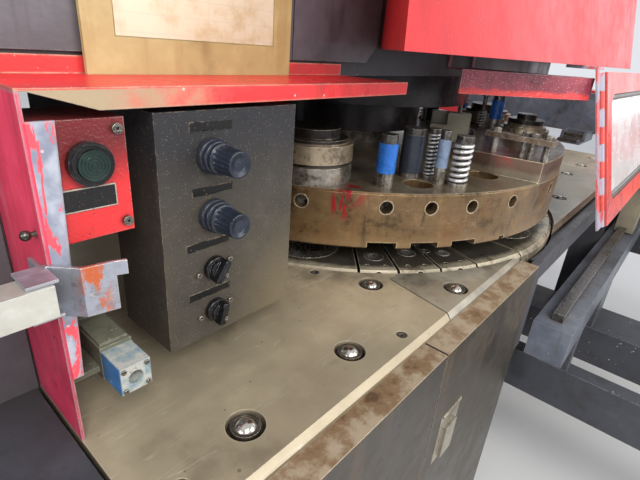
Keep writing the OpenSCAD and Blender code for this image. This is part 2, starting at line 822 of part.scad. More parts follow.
// Table support: plates behind the covers, square tubes on the outer side, crosspieces and legs
module table_frame() {
    color(dark) {
        both_sides() {
            slab([-throat_x, -inner_rail_y, frame_top - frame_rail_h], [tube_x0, rail_t - inner_rail_y, frame_top]);
            difference() {
                slab([-throat_x, rail_t - inner_rail_y, frame_top - seat_bar_h],
                    [cover_end_x, seat_bar_w - inner_rail_y, frame_top]);
                translate([0, 0, frame_top - 200]) cylinder(r = arc_r + 1, h = 300, $fn = 360);
                cup_holes(concat(ball_spots, corner_spots));
            }
            difference() {
                slab([tube_x0, -inner_rail_y + 6, frame_top - tube_s - 6],
                    [outer_x, -inner_rail_y + 6 + tube_s, frame_top - 6]);
                slab([tube_x0 - 1, -inner_rail_y + 10, frame_top - tube_s - 2],
                    [outer_x - 4, -inner_rail_y + 2 + tube_s, frame_top - 10]);
                translate([0, 0, frame_top - 200]) cylinder(r = arc_r + 1, h = 300, $fn = 360);
                cup_holes(outer_spots);
            }
            for (x = leg_xs) slab([x, -inner_rail_y + 6, 0], [x + leg_s, -inner_rail_y + 6 + leg_s, frame_top - 6]);
        }
        slab([-throat_x, -inner_rail_y + rail_t, frame_top - 100], [-throat_x + 20, inner_rail_y - rail_t, frame_top]);
        for (x = leg_xs) slab([x, -inner_rail_y + 6 + tube_s, frame_top - 100],
            [x + leg_s, inner_rail_y - 6 - tube_s, frame_top]);
        slab([outer_x - 30, -inner_rail_y + 6 + tube_s, frame_top - 60], [outer_x, inner_rail_y - 6 - tube_s, frame_top]);
    }
}

corner_depth = 102;
corner_run = 310;
corner_in_run = 49;
edge_y = table_half - 52;
inner_ball_y = 163;
inner_ball_xs = [115 - throat_x, 279 - throat_x];
outer_ball_xs = [outer_x - 506, outer_x - 306, outer_x - 106];
bevel = 7;

// How far along X the turret's arc reaches at a distance y
function arc_x(y) = sqrt(max(0, arc_r * arc_r - y * y));

corner_left = [-arc_x(table_half - corner_depth) - corner_in_run, corner_depth - table_half];
corner_low = [-arc_x(table_half) - corner_run, -table_half];
ball_spots = concat(
    [for (s = [-1, 1], x = inner_ball_xs) [x, s * edge_y]],
    [for (s = [-1, 1], x = inner_ball_xs) [x, s * inner_ball_y]],
    [for (s = [-1, 1]) [corner_left[0] - 40, -s * (corner_left[1] + 30)]]);
corner_spots = [for (s = [-1, 1]) [corner_low[0] + 83, s * (table_half - 32)]];
outer_spots = concat(
    [for (s = [-1, 1]) [arc_x(table_half - 63) + 116, s * (table_half - 63)]],
    [for (s = [-1, 1], x = outer_ball_xs, y = [140, table_half - 126]) [x, s * y]]);

// Cuts the turret's arc out of a table plate
module arc_cut() {
    translate([0, 0, table_h - 60]) cylinder(r = arc_r, h = 120, $fn = 360);
}

// Holes of the ball cups at a list of places
module cup_holes(spots) {
    for (p = spots) translate([p[0], p[1], table_h - 60]) cylinder(d = cup_hole_d, h = 80);
}

// A table plate from x0 to x1 with bevelled long edges
module table_slab(x0, x1) {
    translate([x0, 0, table_h - table_t]) rotate([90, 0, 90]) linear_extrude(height = x1 - x0) polygon([
        [-table_half, 0], [table_half, 0], [table_half, table_t - bevel], [table_half - bevel, table_t],
        [bevel - table_half, table_t], [-table_half, table_t - bevel]]);
}

groove_w = 3;

// Outline of the front corner plate, grown by g along its groove
module corner_outline(g) {
    polygon([[corner_left[0] - g, corner_left[1] + 20], [corner_low[0] - g, -table_half - 20],
        [0, -table_half - 20], [0, corner_left[1] + 20]]);
}

// Inner table plate, between the column and the turret
module inner_table() {
    color(steel) difference() {
        table_slab(-throat_x, 0);
        arc_cut();
        cup_holes(ball_spots);
        both_sides() translate([0, 0, table_h - 50]) linear_extrude(height = 100) corner_outline(groove_w);
        for (p = table_screw_spots) translate([p[0], p[1], table_h - 6.5]) cylinder(d = 15, h = 20);
    }
}

// Corner plates beside the turret, front and rear
module corner_plates() {
    color(steel) both_sides() difference() {
        intersection() {
            table_slab(-throat_x, cover_end_x - 10);
            translate([0, 0, table_h - 50]) linear_extrude(height = 100) corner_outline(0);
        }
        arc_cut();
        cup_holes(corner_spots);
    }
}

// Outer table plate, on the far side of the turret
module outer_table() {
    color(steel) difference() {
        table_slab(60, outer_x);
        arc_cut();
        cup_holes(outer_spots);
        slab([855, -table_half - 1, table_h - 1], [857, table_half + 1, table_h + 1]);
    }
}

side_table_x = -1400;

// Table plates beside the column
module column_tables() {
    color(steel) both_sides() {
        slab([side_table_x, -table_half, frame_top], [-throat_x - 4, -frame_half - panel_t, table_h]);
        slab([side_table_x, -table_half + 20, frame_top - 120], [side_table_x + 20, -frame_half - panel_t, frame_top]);
        slab([-throat_x - 24, -table_half + 20, frame_top - 120], [-throat_x - 4, -frame_half - panel_t, frame_top]);
        slab([side_table_x, -table_half, frame_top - 120], [-throat_x - 4, -table_half + 20, frame_top]);
    }
}

cup_d = 30;
cup_depth = 34;
cup_rim = 0.5;

// One ball cup with a flange in the table's hole
module ball_cup() {
    difference() {
        union() {
            translate([0, 0, -cup_depth]) cylinder(d = cup_d, h = cup_depth - cup_rim);
            translate([0, 0, -table_t]) cylinder(d = cup_hole_d - 2 * fit, h = 4);
        }
        translate([0, 0, ball_up - ball_d / 2]) sphere(d = ball_d + 2 * seat_gap);
        translate([0, 0, ball_up - ball_d / 2]) cylinder(d = ball_d - 2.2, h = 40);
    }
}

// Ball cups of all tables
module ball_cups() {
    color(steel) for (p = concat(ball_spots, corner_spots, outer_spots))
        translate([p[0], p[1], table_h]) ball_cup();
}

// Transfer balls
module transfer_balls() {
    color([0.8, 0.8, 0.8]) for (p = concat(ball_spots, corner_spots, outer_spots))
        translate([p[0], p[1], table_h + ball_up - ball_d / 2]) sphere(d = ball_d);
}

table_screw_spots = [for (s = [-1, 1]) each [[-arc_x(table_half - 217) - 14, s * (table_half - 217)],
    [corner_low[0] - 91, s * (table_half - 25)], [36 - throat_x, s * (table_half - 40)]]];
screw_d = 14;

// Socket head of a screw lying along an axis turned by r
module screw_head(d, h, socket) {
    difference() {
        cylinder(d = d, h = h);
        translate([0, 0, h * 0.4]) cylinder(d = socket, h = h, $fn = 6);
    }
}

// Screws of the table, the boxes, the switch and the guard
module panel_screws() {
    color(steel) {
        for (p = table_screw_spots) translate([p[0], p[1], table_h - 6.5]) screw_head(screw_d, 6, 6);
        for (p = jog_screws) translate([p[0], -jog_y, p[1]]) rotate([90, 0, 0]) screw_head(8, 4, 3);
        for (z = selector_zs, s = [-1, 1])
            translate([knob_x + s * selector_screw[0], -box_y, z + s * selector_screw[1]]) rotate([90, 0, 0])
                screw_head(6, 3, 2.4);
        for (sx = [-1, 1], sz = [-1, 1])
            translate([head_x + sx * head_screw, -head_y, head_z + sz * head_screw]) rotate([90, 0, 0])
                screw_head(4.6, 1.6, 2.2);
        translate([guard_x0, -389, table_h + 199]) rotate([0, -90, 0]) {
            cylinder(d = 4, h = 8);
            translate([0, 0, 7]) sphere(d = 8);
        }
    }
}

cover_bottom = 120;

// A side cover from x0 to x1 with its ledge flange
module side_cover(x0, x1) {
    slab([x0, -cover_y, cover_bottom], [x1, cover_t - cover_y, table_h - ledge_drop]);
    slab([x0, cover_t - cover_y, table_h - ledge_drop - ledge_t], [x1, -table_half - seat_gap, table_h - ledge_drop]);
}

latch_x = -412;
latch_z = table_h - 190;
latch_w = 62;
latch_h = 96;

// Front and rear covers under the table's edge; the second front one has the latch's cut-out
module side_covers() {
    color(steel) {
        both_sides() {
            side_cover(-throat_x, cover_split_x - 2);
        }
        difference() {
            side_cover(cover_split_x + 2, cover_end_x);
            slab([latch_x - latch_w / 2 - 1, -cover_y - 1, latch_z - latch_h / 2 - 1],
                [latch_x + latch_w / 2 + 1, cover_t - cover_y + 1, latch_z + latch_h / 2 + 1]);
        }
        mirror([0, 1, 0]) side_cover(cover_split_x + 2, cover_end_x);
    }
}

// Flush pull latch in the front cover, hinged at its top edge
module cover_latch() {
    color([0.7, 0.7, 0.68]) translate([latch_x, -cover_y, latch_z]) {
        slab([-latch_w / 2, 0, -latch_h / 2], [latch_w / 2, 3, latch_h / 2 - 3]);
        slab([-latch_w / 2 + 14, -6, -latch_h / 2 + 6], [latch_w / 2 - 14, 0, latch_h / 2 - 30]);
        translate([-latch_w / 2 + 2, 0, latch_h / 2 - 3]) rotate([0, 90, 0]) cylinder(d = 6, h = latch_w - 4);
    }
}

guard_t = 3;
guard_x0 = -throat_x;
guard_x1 = guard_x0 + guard_t;
guard_back = 268;
strip_w = 18;
strip_low = 68;
strip_high = 280;

// Red side guard: a plate on the column's face with a bare folded strip at its front edge
module side_guard() {
    color(red) {
        slab([guard_x0, -guard_y, table_h], [guard_x1, -guard_back, table_h + roof_z - 2]);
        translate([0, guard_t - guard_y, 0]) rotate([90, 0, 0]) linear_extrude(height = guard_t) polygon([
            [guard_x1, table_h + strip_low], [guard_x1 + strip_w * 0.45, table_h + strip_low],
            [guard_x1 + strip_w, table_h + strip_high], [guard_x1, table_h + strip_high]]);
    }
}

roof_t = 2;
lip_h = 16;
lip_cut = 52;

// Red guard roof with its front lip, cut at an angle at the left, and a flange on the arm
module guard_roof() {
    z = table_h + roof_z;
    back = -frame_half;
    color(red) {
        translate([0, 0, z - roof_t]) linear_extrude(height = roof_t) polygon([
            [guard_x0, -guard_y], [roof_end_x, -guard_y], [roof_end_x - 28, back], [guard_x0, back]]);
        translate([0, roof_t - guard_y, 0]) rotate([90, 0, 0]) linear_extrude(height = roof_t) polygon([
            [guard_x0 + 6, z - roof_t], [guard_x0 + lip_cut, z - lip_h], [roof_end_x, z - lip_h],
            [roof_end_x, z - roof_t]]);
        slab([guard_x0, back - roof_t, z - roof_t], [roof_end_x - 28, back, z + 15]);
    }
}

jog_x = guard_x1;
jog_y = 395;
jog_z = table_h + 187;
jog_dep = 60;
button_x = jog_x + jog_w / 2 + 4;
button_z = jog_z + 60;
bezel_d = 33;
bezel_h = 9;
lens_d = 23;
jog_screws = [[jog_x + jog_w - 7, jog_z + jog_h - 8], [jog_x + jog_w - 6, jog_z + 9]];

// Red jog box on the guard, with the button's hole and a blank label plate
module jog_box() {
    color(red) difference() {
        union() {
            slab([jog_x, -jog_y, jog_z], [jog_x + jog_w, jog_dep - jog_y, jog_z + jog_h]);
            slab([jog_x + 14, -jog_y - 1, jog_z + 24], [jog_x + jog_w - 12, -jog_y, jog_z + 42]);
        }
        translate([button_x, -jog_y - 1, button_z]) rod_y(lens_d + 2, 24);
    }
}

// Round black bezel of the jog button
module jog_bezel() {
    color(dark) translate([button_x, -jog_y, button_z]) rotate([90, 0, 0]) difference() {
        union() {
            cylinder(d = bezel_d, h = bezel_h - 2);
            cylinder(d = bezel_d - 3, h = bezel_h);
        }
        translate([0, 0, -1]) cylinder(d = lens_d + 2 * seat_gap, h = bezel_h + 2);
    }
}

// Green ringed lens of the jog button
module jog_button() {
    color([0.05, 0.25, 0.15]) translate([button_x, -jog_y - bezel_h - 2, button_z]) rotate([-90, 0, 0]) {
        difference() {
            cylinder(d = lens_d, h = bezel_h + 14);
            for (i = [1:4]) translate([0, 0, -1]) tube(i * 5, i * 5 - 1.2, 1.4);
        }
    }
}

box_y = 395;
knob_x = -706;
knob_zs = [table_h + 181, table_h + 239];
selector_zs = [table_h + 73, table_h + 123];
selector_screw = [19, 3.5];
label_spots = [[-705, 266, 46, 8], [-705, 206, 46, 8], [-712, 151, 50, 8], [-712, 96, 50, 8]];
hanger_w = 12;

// Dark pressure box hung from the roof, with four blank label strips
module pressure_box() {
    z0 = table_h + box_z;
    top = z0 + box_h;
    color(dark) difference() {
        union() {
            slab([box_x, -box_y, z0], [box_x + box_w, box_dep - box_y, top]);
            for (x = [box_x + 20, box_x + box_w - 20 - hanger_w])
                slab([x, 30 - box_y, top], [x + hanger_w, box_dep - box_y, table_h + roof_z - roof_t]);
            for (l = label_spots) slab([l[0] - l[2] / 2, -box_y - 0.8, table_h + l[1] - l[3] / 2],
                [l[0] + l[2] / 2, -box_y, table_h + l[1] + l[3] / 2]);
        }
        for (z = concat(knob_zs, selector_zs)) translate([knob_x, -box_y - 1, z]) rod_y(shank_d + 2 * fit, 21);
    }
}

shank_d = 9;
shank_len = 18;

// Ribbed regulator knob on its shank, at height z
module regulator_knob(z) {
    ribs = 20;
    color([0.12, 0.14, 0.2]) translate([knob_x, -box_y - seat_gap, z]) rotate([90, 0, 0]) {
        difference() {
            union() {
                cylinder(d = knob_d, h = 10);
                translate([0, 0, 10]) cylinder(d = knob_d * 0.9, h = 9);
                translate([0, 0, 19]) cylinder(d = knob_d * 0.76, h = knob_len - 19);
            }
            for (i = [0:ribs - 1]) rotate([0, 0, i * 360 / ribs]) translate([knob_d * 0.38, 0, 22])
                cylinder(d = 1.6, h = knob_len);
        }
        translate([0, 0, -shank_len]) cylinder(d = shank_d, h = shank_len);
    }
}

module low_knob() {
    regulator_knob(knob_zs[0]);
}

module high_knob() {
    regulator_knob(knob_zs[1]);
}

lever_w = 8;

// Selector with a round dial and a grip lever, at height z, turned by a
module selector(z, a) {
    color(dark) translate([knob_x, -box_y - seat_gap, z]) rotate([90, 0, 0]) {
        cylinder(d = selector_d, h = 6);
        translate([0, 0, 6]) cylinder(d = selector_d * 0.7, h = 4);
        rotate([0, 0, a]) translate([-lever_w / 2, -selector_d / 2, 9]) cube([lever_w, selector_d, 9]);
        translate([0, 0, -shank_len]) cylinder(d = shank_d, h = shank_len);
    }
}

low_rest = -15;
high_rest = -33;

module low_selector() {
    selector(selector_zs[0], low_rest);
}

module high_selector() {
    selector(selector_zs[1], high_rest);
}

chart_x = -772;
chart_t = 5;
chart_rim = 28;

// Chart sleeve standing on the roof against the arm's cover: a framed plate with a pale sheet
module chart_sleeve() {
    y = -frame_half - panel_t - roof_t - seat_gap;
    z = table_h + roof_z;
    color([0.85, 0.78, 0.55]) difference() {
        slab([chart_x, y - chart_t, z], [chart_x + chart_w, y, z + chart_h]);
        slab([chart_x + chart_rim, y - chart_t - 1, z + chart_rim + 4],
            [chart_x + chart_w - chart_rim, y - chart_t + 1.5, z + chart_h - chart_rim]);
    }
}

keeper_z = table_h + 135;
keeper_h = 42;
strap_low = 150;
strap_high = 171;
arm_bar = 24;
arm_bar_h = 25;
arm_len = 150;
arm_z0 = table_h + 148;
pin_d = 8;
pin_x = guard_x0 - 13;
pin_y = -guard_y - 14;
lug_t = 2.5;

// Bare bent keeper plate with a hook in front of the guard's edge, and the clevis of the latch arm
module latch_keeper() {
    y = -guard_y;
    color(steel) {
        translate([0, 0, keeper_z]) linear_extrude(height = keeper_h) polygon([
            [guard_x0 - 2, y], [guard_x0 + 15, y - 20], [guard_x0 + 39, y - 24], [guard_x0 + 39, y - 21],
            [guard_x0 + 16.5, y - 17], [guard_x0 + 2.5, y]]);
        translate([0, 0, keeper_z + keeper_h - 12]) linear_extrude(height = 12) polygon([
            [guard_x0 + 38, y - 24], [guard_x0 + 47, y - 27], [guard_x0 + 47, y - 24], [guard_x0 + 38, y - 21]]);
        slab([guard_x0 - 3, y, table_h + strap_low], [guard_x0, y + 35, table_h + strap_high]);
        for (z = [arm_z0 - seat_gap - lug_t, arm_z0 + arm_bar_h + seat_gap])
            slab([pin_x - 9, pin_y - 9, z], [guard_x0 - 1, y + 6, z + lug_t]);
        slab([guard_x0 - 3, y, arm_z0 - seat_gap - lug_t], [guard_x0, y + 6, arm_z0 + arm_bar_h + seat_gap + lug_t]);
        translate([pin_x, pin_y, arm_z0 - 2]) cylinder(d = pin_d, h = arm_bar_h + 4);
    }
}

// Aluminium latch arm on the keeper's pin
module latch_arm() {
    color([0.75, 0.75, 0.73]) difference() {
        slab([pin_x - arm_len, pin_y - arm_bar / 2, arm_z0], [pin_x + 8, pin_y + arm_bar / 2, arm_z0 + arm_bar_h]);
        translate([pin_x, pin_y, arm_z0 - 1]) cylinder(d = pin_d + 2 * fit, h = arm_bar_h + 2);
    }
}

head_x = -812;
head_y = 425;
head_z = table_h + 62.5;
head_s = 28;
head_screw = 10.5;
head_dep = 34;
body_dep = 56;
body_w = 29;
body_low = table_h + 46;
body_high = table_h + 80;
plunger_d = 7;
plunger_up = 14;
plunger_stroke = 5;

// Grey switch body with its lid and a foot on the guard
module switch_body() {
    y = head_dep - head_y;
    color([0.35, 0.38, 0.33]) difference() {
        union() {
            slab([head_x - body_w / 2, y, body_low], [head_x + body_w / 2, y + body_dep, body_high]);
            slab([head_x - body_w / 2 + 2, y + 4, body_high], [head_x + body_w / 2 - 2, y + body_dep - 10, body_high + 2]);
            slab([guard_x1, y + 6, body_low + 6], [head_x - body_w / 2, y + body_dep - 10, body_low + 12]);
        }
        translate([head_x, y + body_dep - 20, table_h + 66]) rod_y(plunger_d + 2 * fit, 21);
    }
}

// Spring-loaded plunger with its roller, at the rear end of the switch
module switch_plunger() {
    y = head_dep - head_y + body_dep;
    color(steel) translate([head_x, y, table_h + 66]) {
        translate([0, -12, 0]) rod_y(plunger_d, 12 + plunger_up - 4);
        translate([-4, plunger_up - 2, 0]) rotate([0, 90, 0]) cylinder(d = 11, h = 8);
    }
}

// Blue switch head with its open conduit hole
module switch_head() {
    color([0.15, 0.45, 0.65]) difference() {
        slab([head_x - head_s / 2, -head_y, head_z - head_s / 2],
            [head_x + head_s / 2, head_dep - head_y, head_z + head_s / 2]);
        translate([head_x, -head_y - 1, head_z]) rod_y(13, 21);
    }
}

band_len = 303;
band_t = 3;
band_tall = 43;
band_top = table_h + 318;
band_from = [-127, -360];
band_turn = -33.4;

// Red splash band beyond the turret, hung from the hood's lower edge
module far_guard() {
    color(red) translate([band_from[0], band_from[1], band_top - band_tall]) rotate([0, 0, band_turn]) {
        cube([band_len, band_t, band_tall]);
        translate([40, 0, band_tall - 3]) cube([band_len - 50, 26, 3]);
    }
    color(red) for (x = [-70, 40]) {
        slab([x, band_from[1] + (x + hanger_w - band_from[0]) * tan(band_turn) + 8, band_top - 3],
            [x + hanger_w, -frame_half, band_top]);
        slab([x, -frame_half - 3, band_top - 3], [x + hanger_w, -frame_half, band_top + 30]);
    }
}

post_d = 14;
knuckles = 9;
hinge_len = door_len;
post_top_y = (hinge_len + 8) * sin(door_tilt) - door_foot_y;

// Children in the frame of the tilted door: X along it, Z up its hinge, Y through it
module on_door() {
    translate([hinge_x, -door_foot_y, table_h + door_z]) rotate([-door_tilt, 0, 0]) children();
}

// Fixed hinge leaf and pin, with a gusset up to the hood
module guard_post() {
    pitch = hinge_len / knuckles;
    color(red) on_door() {
        cylinder(d = 8, h = hinge_len);
        for (i = [0:2:knuckles - 1]) translate([0, 0, i * pitch]) {
            cylinder(d = post_d, h = pitch - seat_gap);
            translate([-24, -2, 0]) cube([22, 4, pitch - seat_gap]);
        }
        translate([-40, -2, 0]) cube([18, 4, hinge_len + 8]);
    }
    color(red) slab([hinge_x - 42, min(post_top_y - 3, -hood_half), table_h + hood_gap - 6],
        [hinge_x + 12, max(post_top_y + 8, 35 - hood_half), table_h + hood_gap]);
}

door_t = 22;
pane_rim = 46;
pane_r = 30;
pane_t = 5;

// Rounded window outline, drawn in by g
module pane_outline(g) {
    w = door_w - 2 * pane_rim - 2 * g;
    h = door_len - 2 * pane_rim - 2 * g;
    r = pane_r - g;
    translate([pane_rim + g, pane_rim + g]) union() {
        translate([r, 0]) square([w - 2 * r, h]);
        translate([0, r]) square([w, h - 2 * r]);
        for (x = [r, w - r], y = [r, h - r]) translate([x, y]) circle(r = r, $fn = 48);
    }
}

// Red guard door with a window opening and its hinge knuckles
module guard_door() {
    pitch = hinge_len / knuckles;
    color(red) on_door() difference() {
        union() {
            translate([post_d / 2 + 1, door_t / 2, 0]) rotate([90, 0, 0]) linear_extrude(height = door_t) difference() {
                square([door_w - post_d / 2 - 1, door_len]);
                pane_outline(0);
            }
            for (i = [1:2:knuckles - 1]) translate([0, 0, i * pitch]) {
                cylinder(d = post_d, h = pitch - seat_gap);
                translate([0, -3, 0]) cube([post_d, 6, pitch - seat_gap]);
            }
        }
        translate([0, 0, -1]) cylinder(d = 8 + 2 * fit, h = hinge_len + 2);
    }
}

// Clear window in its grey gasket
module door_window() {
    color([0.7, 0.75, 0.75]) on_door() translate([post_d / 2 + 1, pane_t / 2, 0]) rotate([90, 0, 0]) {
        linear_extrude(height = pane_t) pane_outline(seat_gap);
        translate([0, 0, -5]) linear_extrude(height = pane_t + 10) difference() {
            pane_outline(seat_gap);
            pane_outline(12);
        }
    }
}

rail_x0 = 40;
rail_x1 = throat_x + column_len;
rail_beam_h = 90;
crosses = [[210, 50], [500, 170], [1700, 120]];
cross_s = 120;
cross_top = table_h - 400;
cross_reach = 1300;
rail_top = table_h - rail_drop;

// Rail beams along X on stools, crossbeams along Y with legs
module rail_beams() {
    color(dark) both_sides() {
        slab([rail_x0, -rail_y - rail_w / 2, rail_top - rail_beam_h], [rail_x1, rail_w / 2 - rail_y, rail_top]);
        for (c = crosses) {
            x = c[0];
            w = c[1];
            slab([x, -cross_reach, cross_top - cross_s], [x + w, x < lower_reach ? -frame_half : 0, cross_top]);
            slab([x + 5, -rail_y - rail_w / 2, cross_top], [x + w - 5, rail_w / 2 - rail_y, rail_top - rail_beam_h]);
            slab([x, -cross_reach, 0], [x + w, 100 - cross_reach, cross_top - cross_s]);
        }
    }
}

guide_w = 24;
guide_h = 20;

// Linear rails on the rail beams
module linear_rails() {
    color(steel) both_sides()
        slab([rail_x0 + 35, -rail_y - guide_w / 2, rail_top], [rail_x1 - 20, guide_w / 2 - rail_y, rail_top + guide_h]);
}

wing_x0 = 860;
wing_x1 = 1850;
wing_in = 584;
wing_t = 20;
block_len = 80;

// Moving wing tables with their bearing blocks on the rails
module wing_tables() {
    color(steel) both_sides() {
        slab([wing_x0, -wing_half, table_h - wing_t], [wing_x1, -wing_in, table_h]);
        slab([wing_x0, -wing_half, table_h - 90], [wing_x1, 12 - wing_half, table_h - wing_t]);
        for (x = [wing_x0 + 40, wing_x1 - 40 - block_len]) difference() {
            slab([x, -rail_y - 32, rail_top + 4], [x + block_len, -wing_in, table_h - wing_t]);
            slab([x - 1, -rail_y - guide_w / 2 - seat_gap, rail_top], [x + block_len + 1, -rail_y + guide_w / 2 + seat_gap,
                rail_top + guide_h + seat_gap]);
        }
    }
}

beam_x0 = 1650;
beam_x1 = 1810;
beam_z0 = table_h + 30;
beam_z1 = table_h + 230;
foot_len = 300;

// Carriage beam over both wing tables
module carriage_beam() {
    color(red) {
        slab([beam_x0, -wing_half, beam_z0], [beam_x1, wing_half, beam_z1]);
        both_sides() slab([beam_x0, -wing_half, table_h], [beam_x1, foot_len - wing_half, beam_z0]);
    }
}

slide_len = 700;
slide_t = 60;
clamp_ys = [-250, 250];
clamp_w = 110;
jaw_reach = 220;
jaw_z = table_h + 6;
jaw_t = 6;
jaw_gap = 1.5;
jaw_hinge_x = beam_x0 - slide_t - 110;
jaw_hinge_z = jaw_z + jaw_t + 22;
slide_x = beam_x0 - seat_gap;

// Cross slide on the beam's face with its two clamp bodies
module cross_slide() {
    color(steel) {
        slab([slide_x - slide_t, -slide_len / 2, beam_z0 + 10], [slide_x, slide_len / 2, beam_z1 - 10]);
        for (y = clamp_ys) translate([0, y, 0]) difference() {
            union() {
                slab([slide_x - slide_t - jaw_reach, -clamp_w / 2, jaw_z], [slide_x - slide_t, clamp_w / 2, jaw_z + jaw_t]);
                slab([slide_x - slide_t - 60, -clamp_w / 2, jaw_z], [slide_x - slide_t + 30, clamp_w / 2, beam_z0 + 20]);
                for (s = [-1, 1]) slab([jaw_hinge_x - 16, s * (clamp_w / 2 - 6) - 6, jaw_z],
                    [slide_x - slide_t, s * (clamp_w / 2 - 6) + 6, jaw_hinge_z + 16]);
            }
            translate([jaw_hinge_x, -clamp_w, jaw_hinge_z]) rod_y(16 + 2 * fit, 2 * clamp_w);
        }
    }
}

// Upper clamp jaws on their pins
module clamp_jaws() {
    color(dark) for (y = clamp_ys) translate([0, y, 0]) {
        translate([jaw_hinge_x, -clamp_w / 2, jaw_hinge_z]) rod_y(16, clamp_w);
        slab([slide_x - slide_t - jaw_reach, 13 - clamp_w / 2, jaw_z + jaw_t + jaw_gap],
            [jaw_hinge_x + 6, clamp_w / 2 - 13, jaw_z + jaw_t + 13]);
        slab([jaw_hinge_x - 12, 13 - clamp_w / 2, jaw_z + jaw_t + jaw_gap],
            [jaw_hinge_x + 6, clamp_w / 2 - 13, jaw_hinge_z + 8]);
    }
}

c_frame();
levelling_feet();
frame_covers();
turret_hood();
rear_guard();
ram();
upper_turret();
upper_shaft();
turret_bearings();
punch_guides();
punches();
driven_punch();
driven_spring();
blue_canisters();
dark_canisters();
pale_canisters();
punch_springs();
large_punches();
clamp_bar();
bar_bolts();
index_block();
lower_turret();
die_holders();
dies();
table_frame();
inner_table();
corner_plates();
outer_table();
column_tables();
ball_cups();
transfer_balls();
panel_screws();
side_covers();
cover_latch();
side_guard();
guard_roof();
jog_box();
jog_bezel();
jog_button();
pressure_box();
high_knob();
low_knob();
high_selector();
low_selector();
chart_sleeve();
latch_keeper();
latch_arm();
switch_body();
switch_head();
switch_plunger();
far_guard();
guard_post();
guard_door();
door_window();
rail_beams();
linear_rails();
wing_tables();
carriage_beam();
cross_slide();
clamp_jaws();
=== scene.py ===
import math

import bpy
import numpy as np
from bpy.props import FloatProperty, FloatVectorProperty, IntProperty, PointerProperty
from mathutils import Matrix, Vector


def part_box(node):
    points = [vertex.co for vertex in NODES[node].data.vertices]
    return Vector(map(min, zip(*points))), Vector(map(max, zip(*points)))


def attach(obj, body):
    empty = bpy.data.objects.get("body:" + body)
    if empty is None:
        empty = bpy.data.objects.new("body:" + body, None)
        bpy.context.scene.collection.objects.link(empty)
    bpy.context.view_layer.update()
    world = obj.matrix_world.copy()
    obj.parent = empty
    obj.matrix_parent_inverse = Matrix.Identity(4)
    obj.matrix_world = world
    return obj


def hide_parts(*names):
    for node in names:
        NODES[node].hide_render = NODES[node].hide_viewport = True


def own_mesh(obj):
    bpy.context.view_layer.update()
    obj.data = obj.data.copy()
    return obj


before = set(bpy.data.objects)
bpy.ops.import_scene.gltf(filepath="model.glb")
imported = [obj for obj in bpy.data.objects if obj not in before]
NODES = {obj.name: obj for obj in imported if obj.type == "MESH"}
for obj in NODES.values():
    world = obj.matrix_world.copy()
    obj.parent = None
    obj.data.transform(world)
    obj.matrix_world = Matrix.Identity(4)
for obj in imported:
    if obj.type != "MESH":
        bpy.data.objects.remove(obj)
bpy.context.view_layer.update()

bl_info = {
    "name": "Turret punch press",
    "version": (1, 0, 0),
    "blender": (4, 5, 0),
    "location": "3D View > Sidebar > Punch press",
    "description": "Dresses the turret punch press with springs, knobs, rings, paint, steel and light",
    "category": "Add Mesh",
}

# Metres and degrees, as in the frame. The turret's stations stand in groups round its axis.
GROUPS = 6
FIRST = 211.5
PITCH = 60.0
PAD_GROUP = 1
TURRET_TOP = 1.012
RIM_FOOT = 0.945
LEDGE = 0.87
INDEX_HOLES = (0.0, 15.0, 23.4, 32.0, 42.8)
INDEX_HEIGHT = 0.988
INDEX_RADIUS = 0.011
GREASE_BY_TOOL = (-0.392, -0.33, 1.012)
GREASE_ON_RIM = (-0.412, -0.331, 0.99)
GREASE_ON_PAD = (-0.03, -0.44, 1.052)
# Springs: radius and angle of the station, foot, top and outer diameter.
BIG_SPRING = (0.482, 31.6, 1.018, 1.086, 0.034)
SLIM_SPRING = (0.433, 28.1, 1.018, 1.093, 0.0212)
PAD_SPRING = (0.37, 314.8, 1.056, 1.09, 0.0212)
PAD_TURNS = 5
DRIVEN_TURNS = 8
DRIVEN_WIRE_SHARE = 0.75
# Controls: length behind the panel, shank, and the selectors' dial and lever
BEHIND_PANEL = 0.018
SHANK = 0.0045
DIAL = 0.013
LEVER = (0.004, 0.0062, DIAL)
LEVER_OUT = 0.0118
SCREW_UP = 0.0052
# The door's tilt and hinge; the pane's sides along X and Z and the radius of its corners
DOOR_TILT = math.radians(-16.3)
DOOR_HINGE = (0.156, -0.619, 0.898)
PANE = ((0.054, 0.634), (0.046, 0.278), 0.03)
# The chart's paper: its borders in the sleeve and how far its face stands behind the sleeve's
PAPER_SIDES = 0.029
PAPER_FOOT = 0.033
PAPER_BACK = 0.00145
# The photograph's camera
CAMERA_AXES = ((0.6595, -0.7481, 0.0732), (0.2597, 0.3181, 0.9118), (-0.7054, -0.5823, 0.404))
CAMERA_PLACE = (-0.948, -0.733, 1.22)
CAMERA_LENS = 24.85
# Name, place, aim, size, watts and tint of each lamp
LAMPS = (("key_lamp", (-1.6, -2.6, 3.0), (-0.2, -0.3, 1.0), 1.6, 95.0, (1.0, 0.97, 0.92)),
         ("side_lamp", (1.4, -3.8, 2.4), (0.0, -0.3, 1.0), 2.4, 80.0, (1.0, 0.98, 0.95)),
         ("far_lamp", (4.4, -0.9, 1.9), (0.3, -0.4, 1.0), 2.2, 17.0, (0.9, 0.95, 1.0)),
         ("left_lamp", (-3.4, -0.6, 1.6), (-0.8, -0.3, 1.0), 1.4, 40.0, (0.94, 0.95, 1.0)))
FLOOR_HALF = 14.0
FLOOR_Z = -0.001


# Shapes

def station(radius, angle):
    """A place on the turret from its radius and its angle in degrees."""
    a = math.radians(angle)
    return np.array([radius * math.cos(a), radius * math.sin(a), 0.0])


def tooled():
    """Angles of the first station of each group that carries punches."""
    return [FIRST + k * PITCH for k in range(GROUPS) if k != PAD_GROUP]


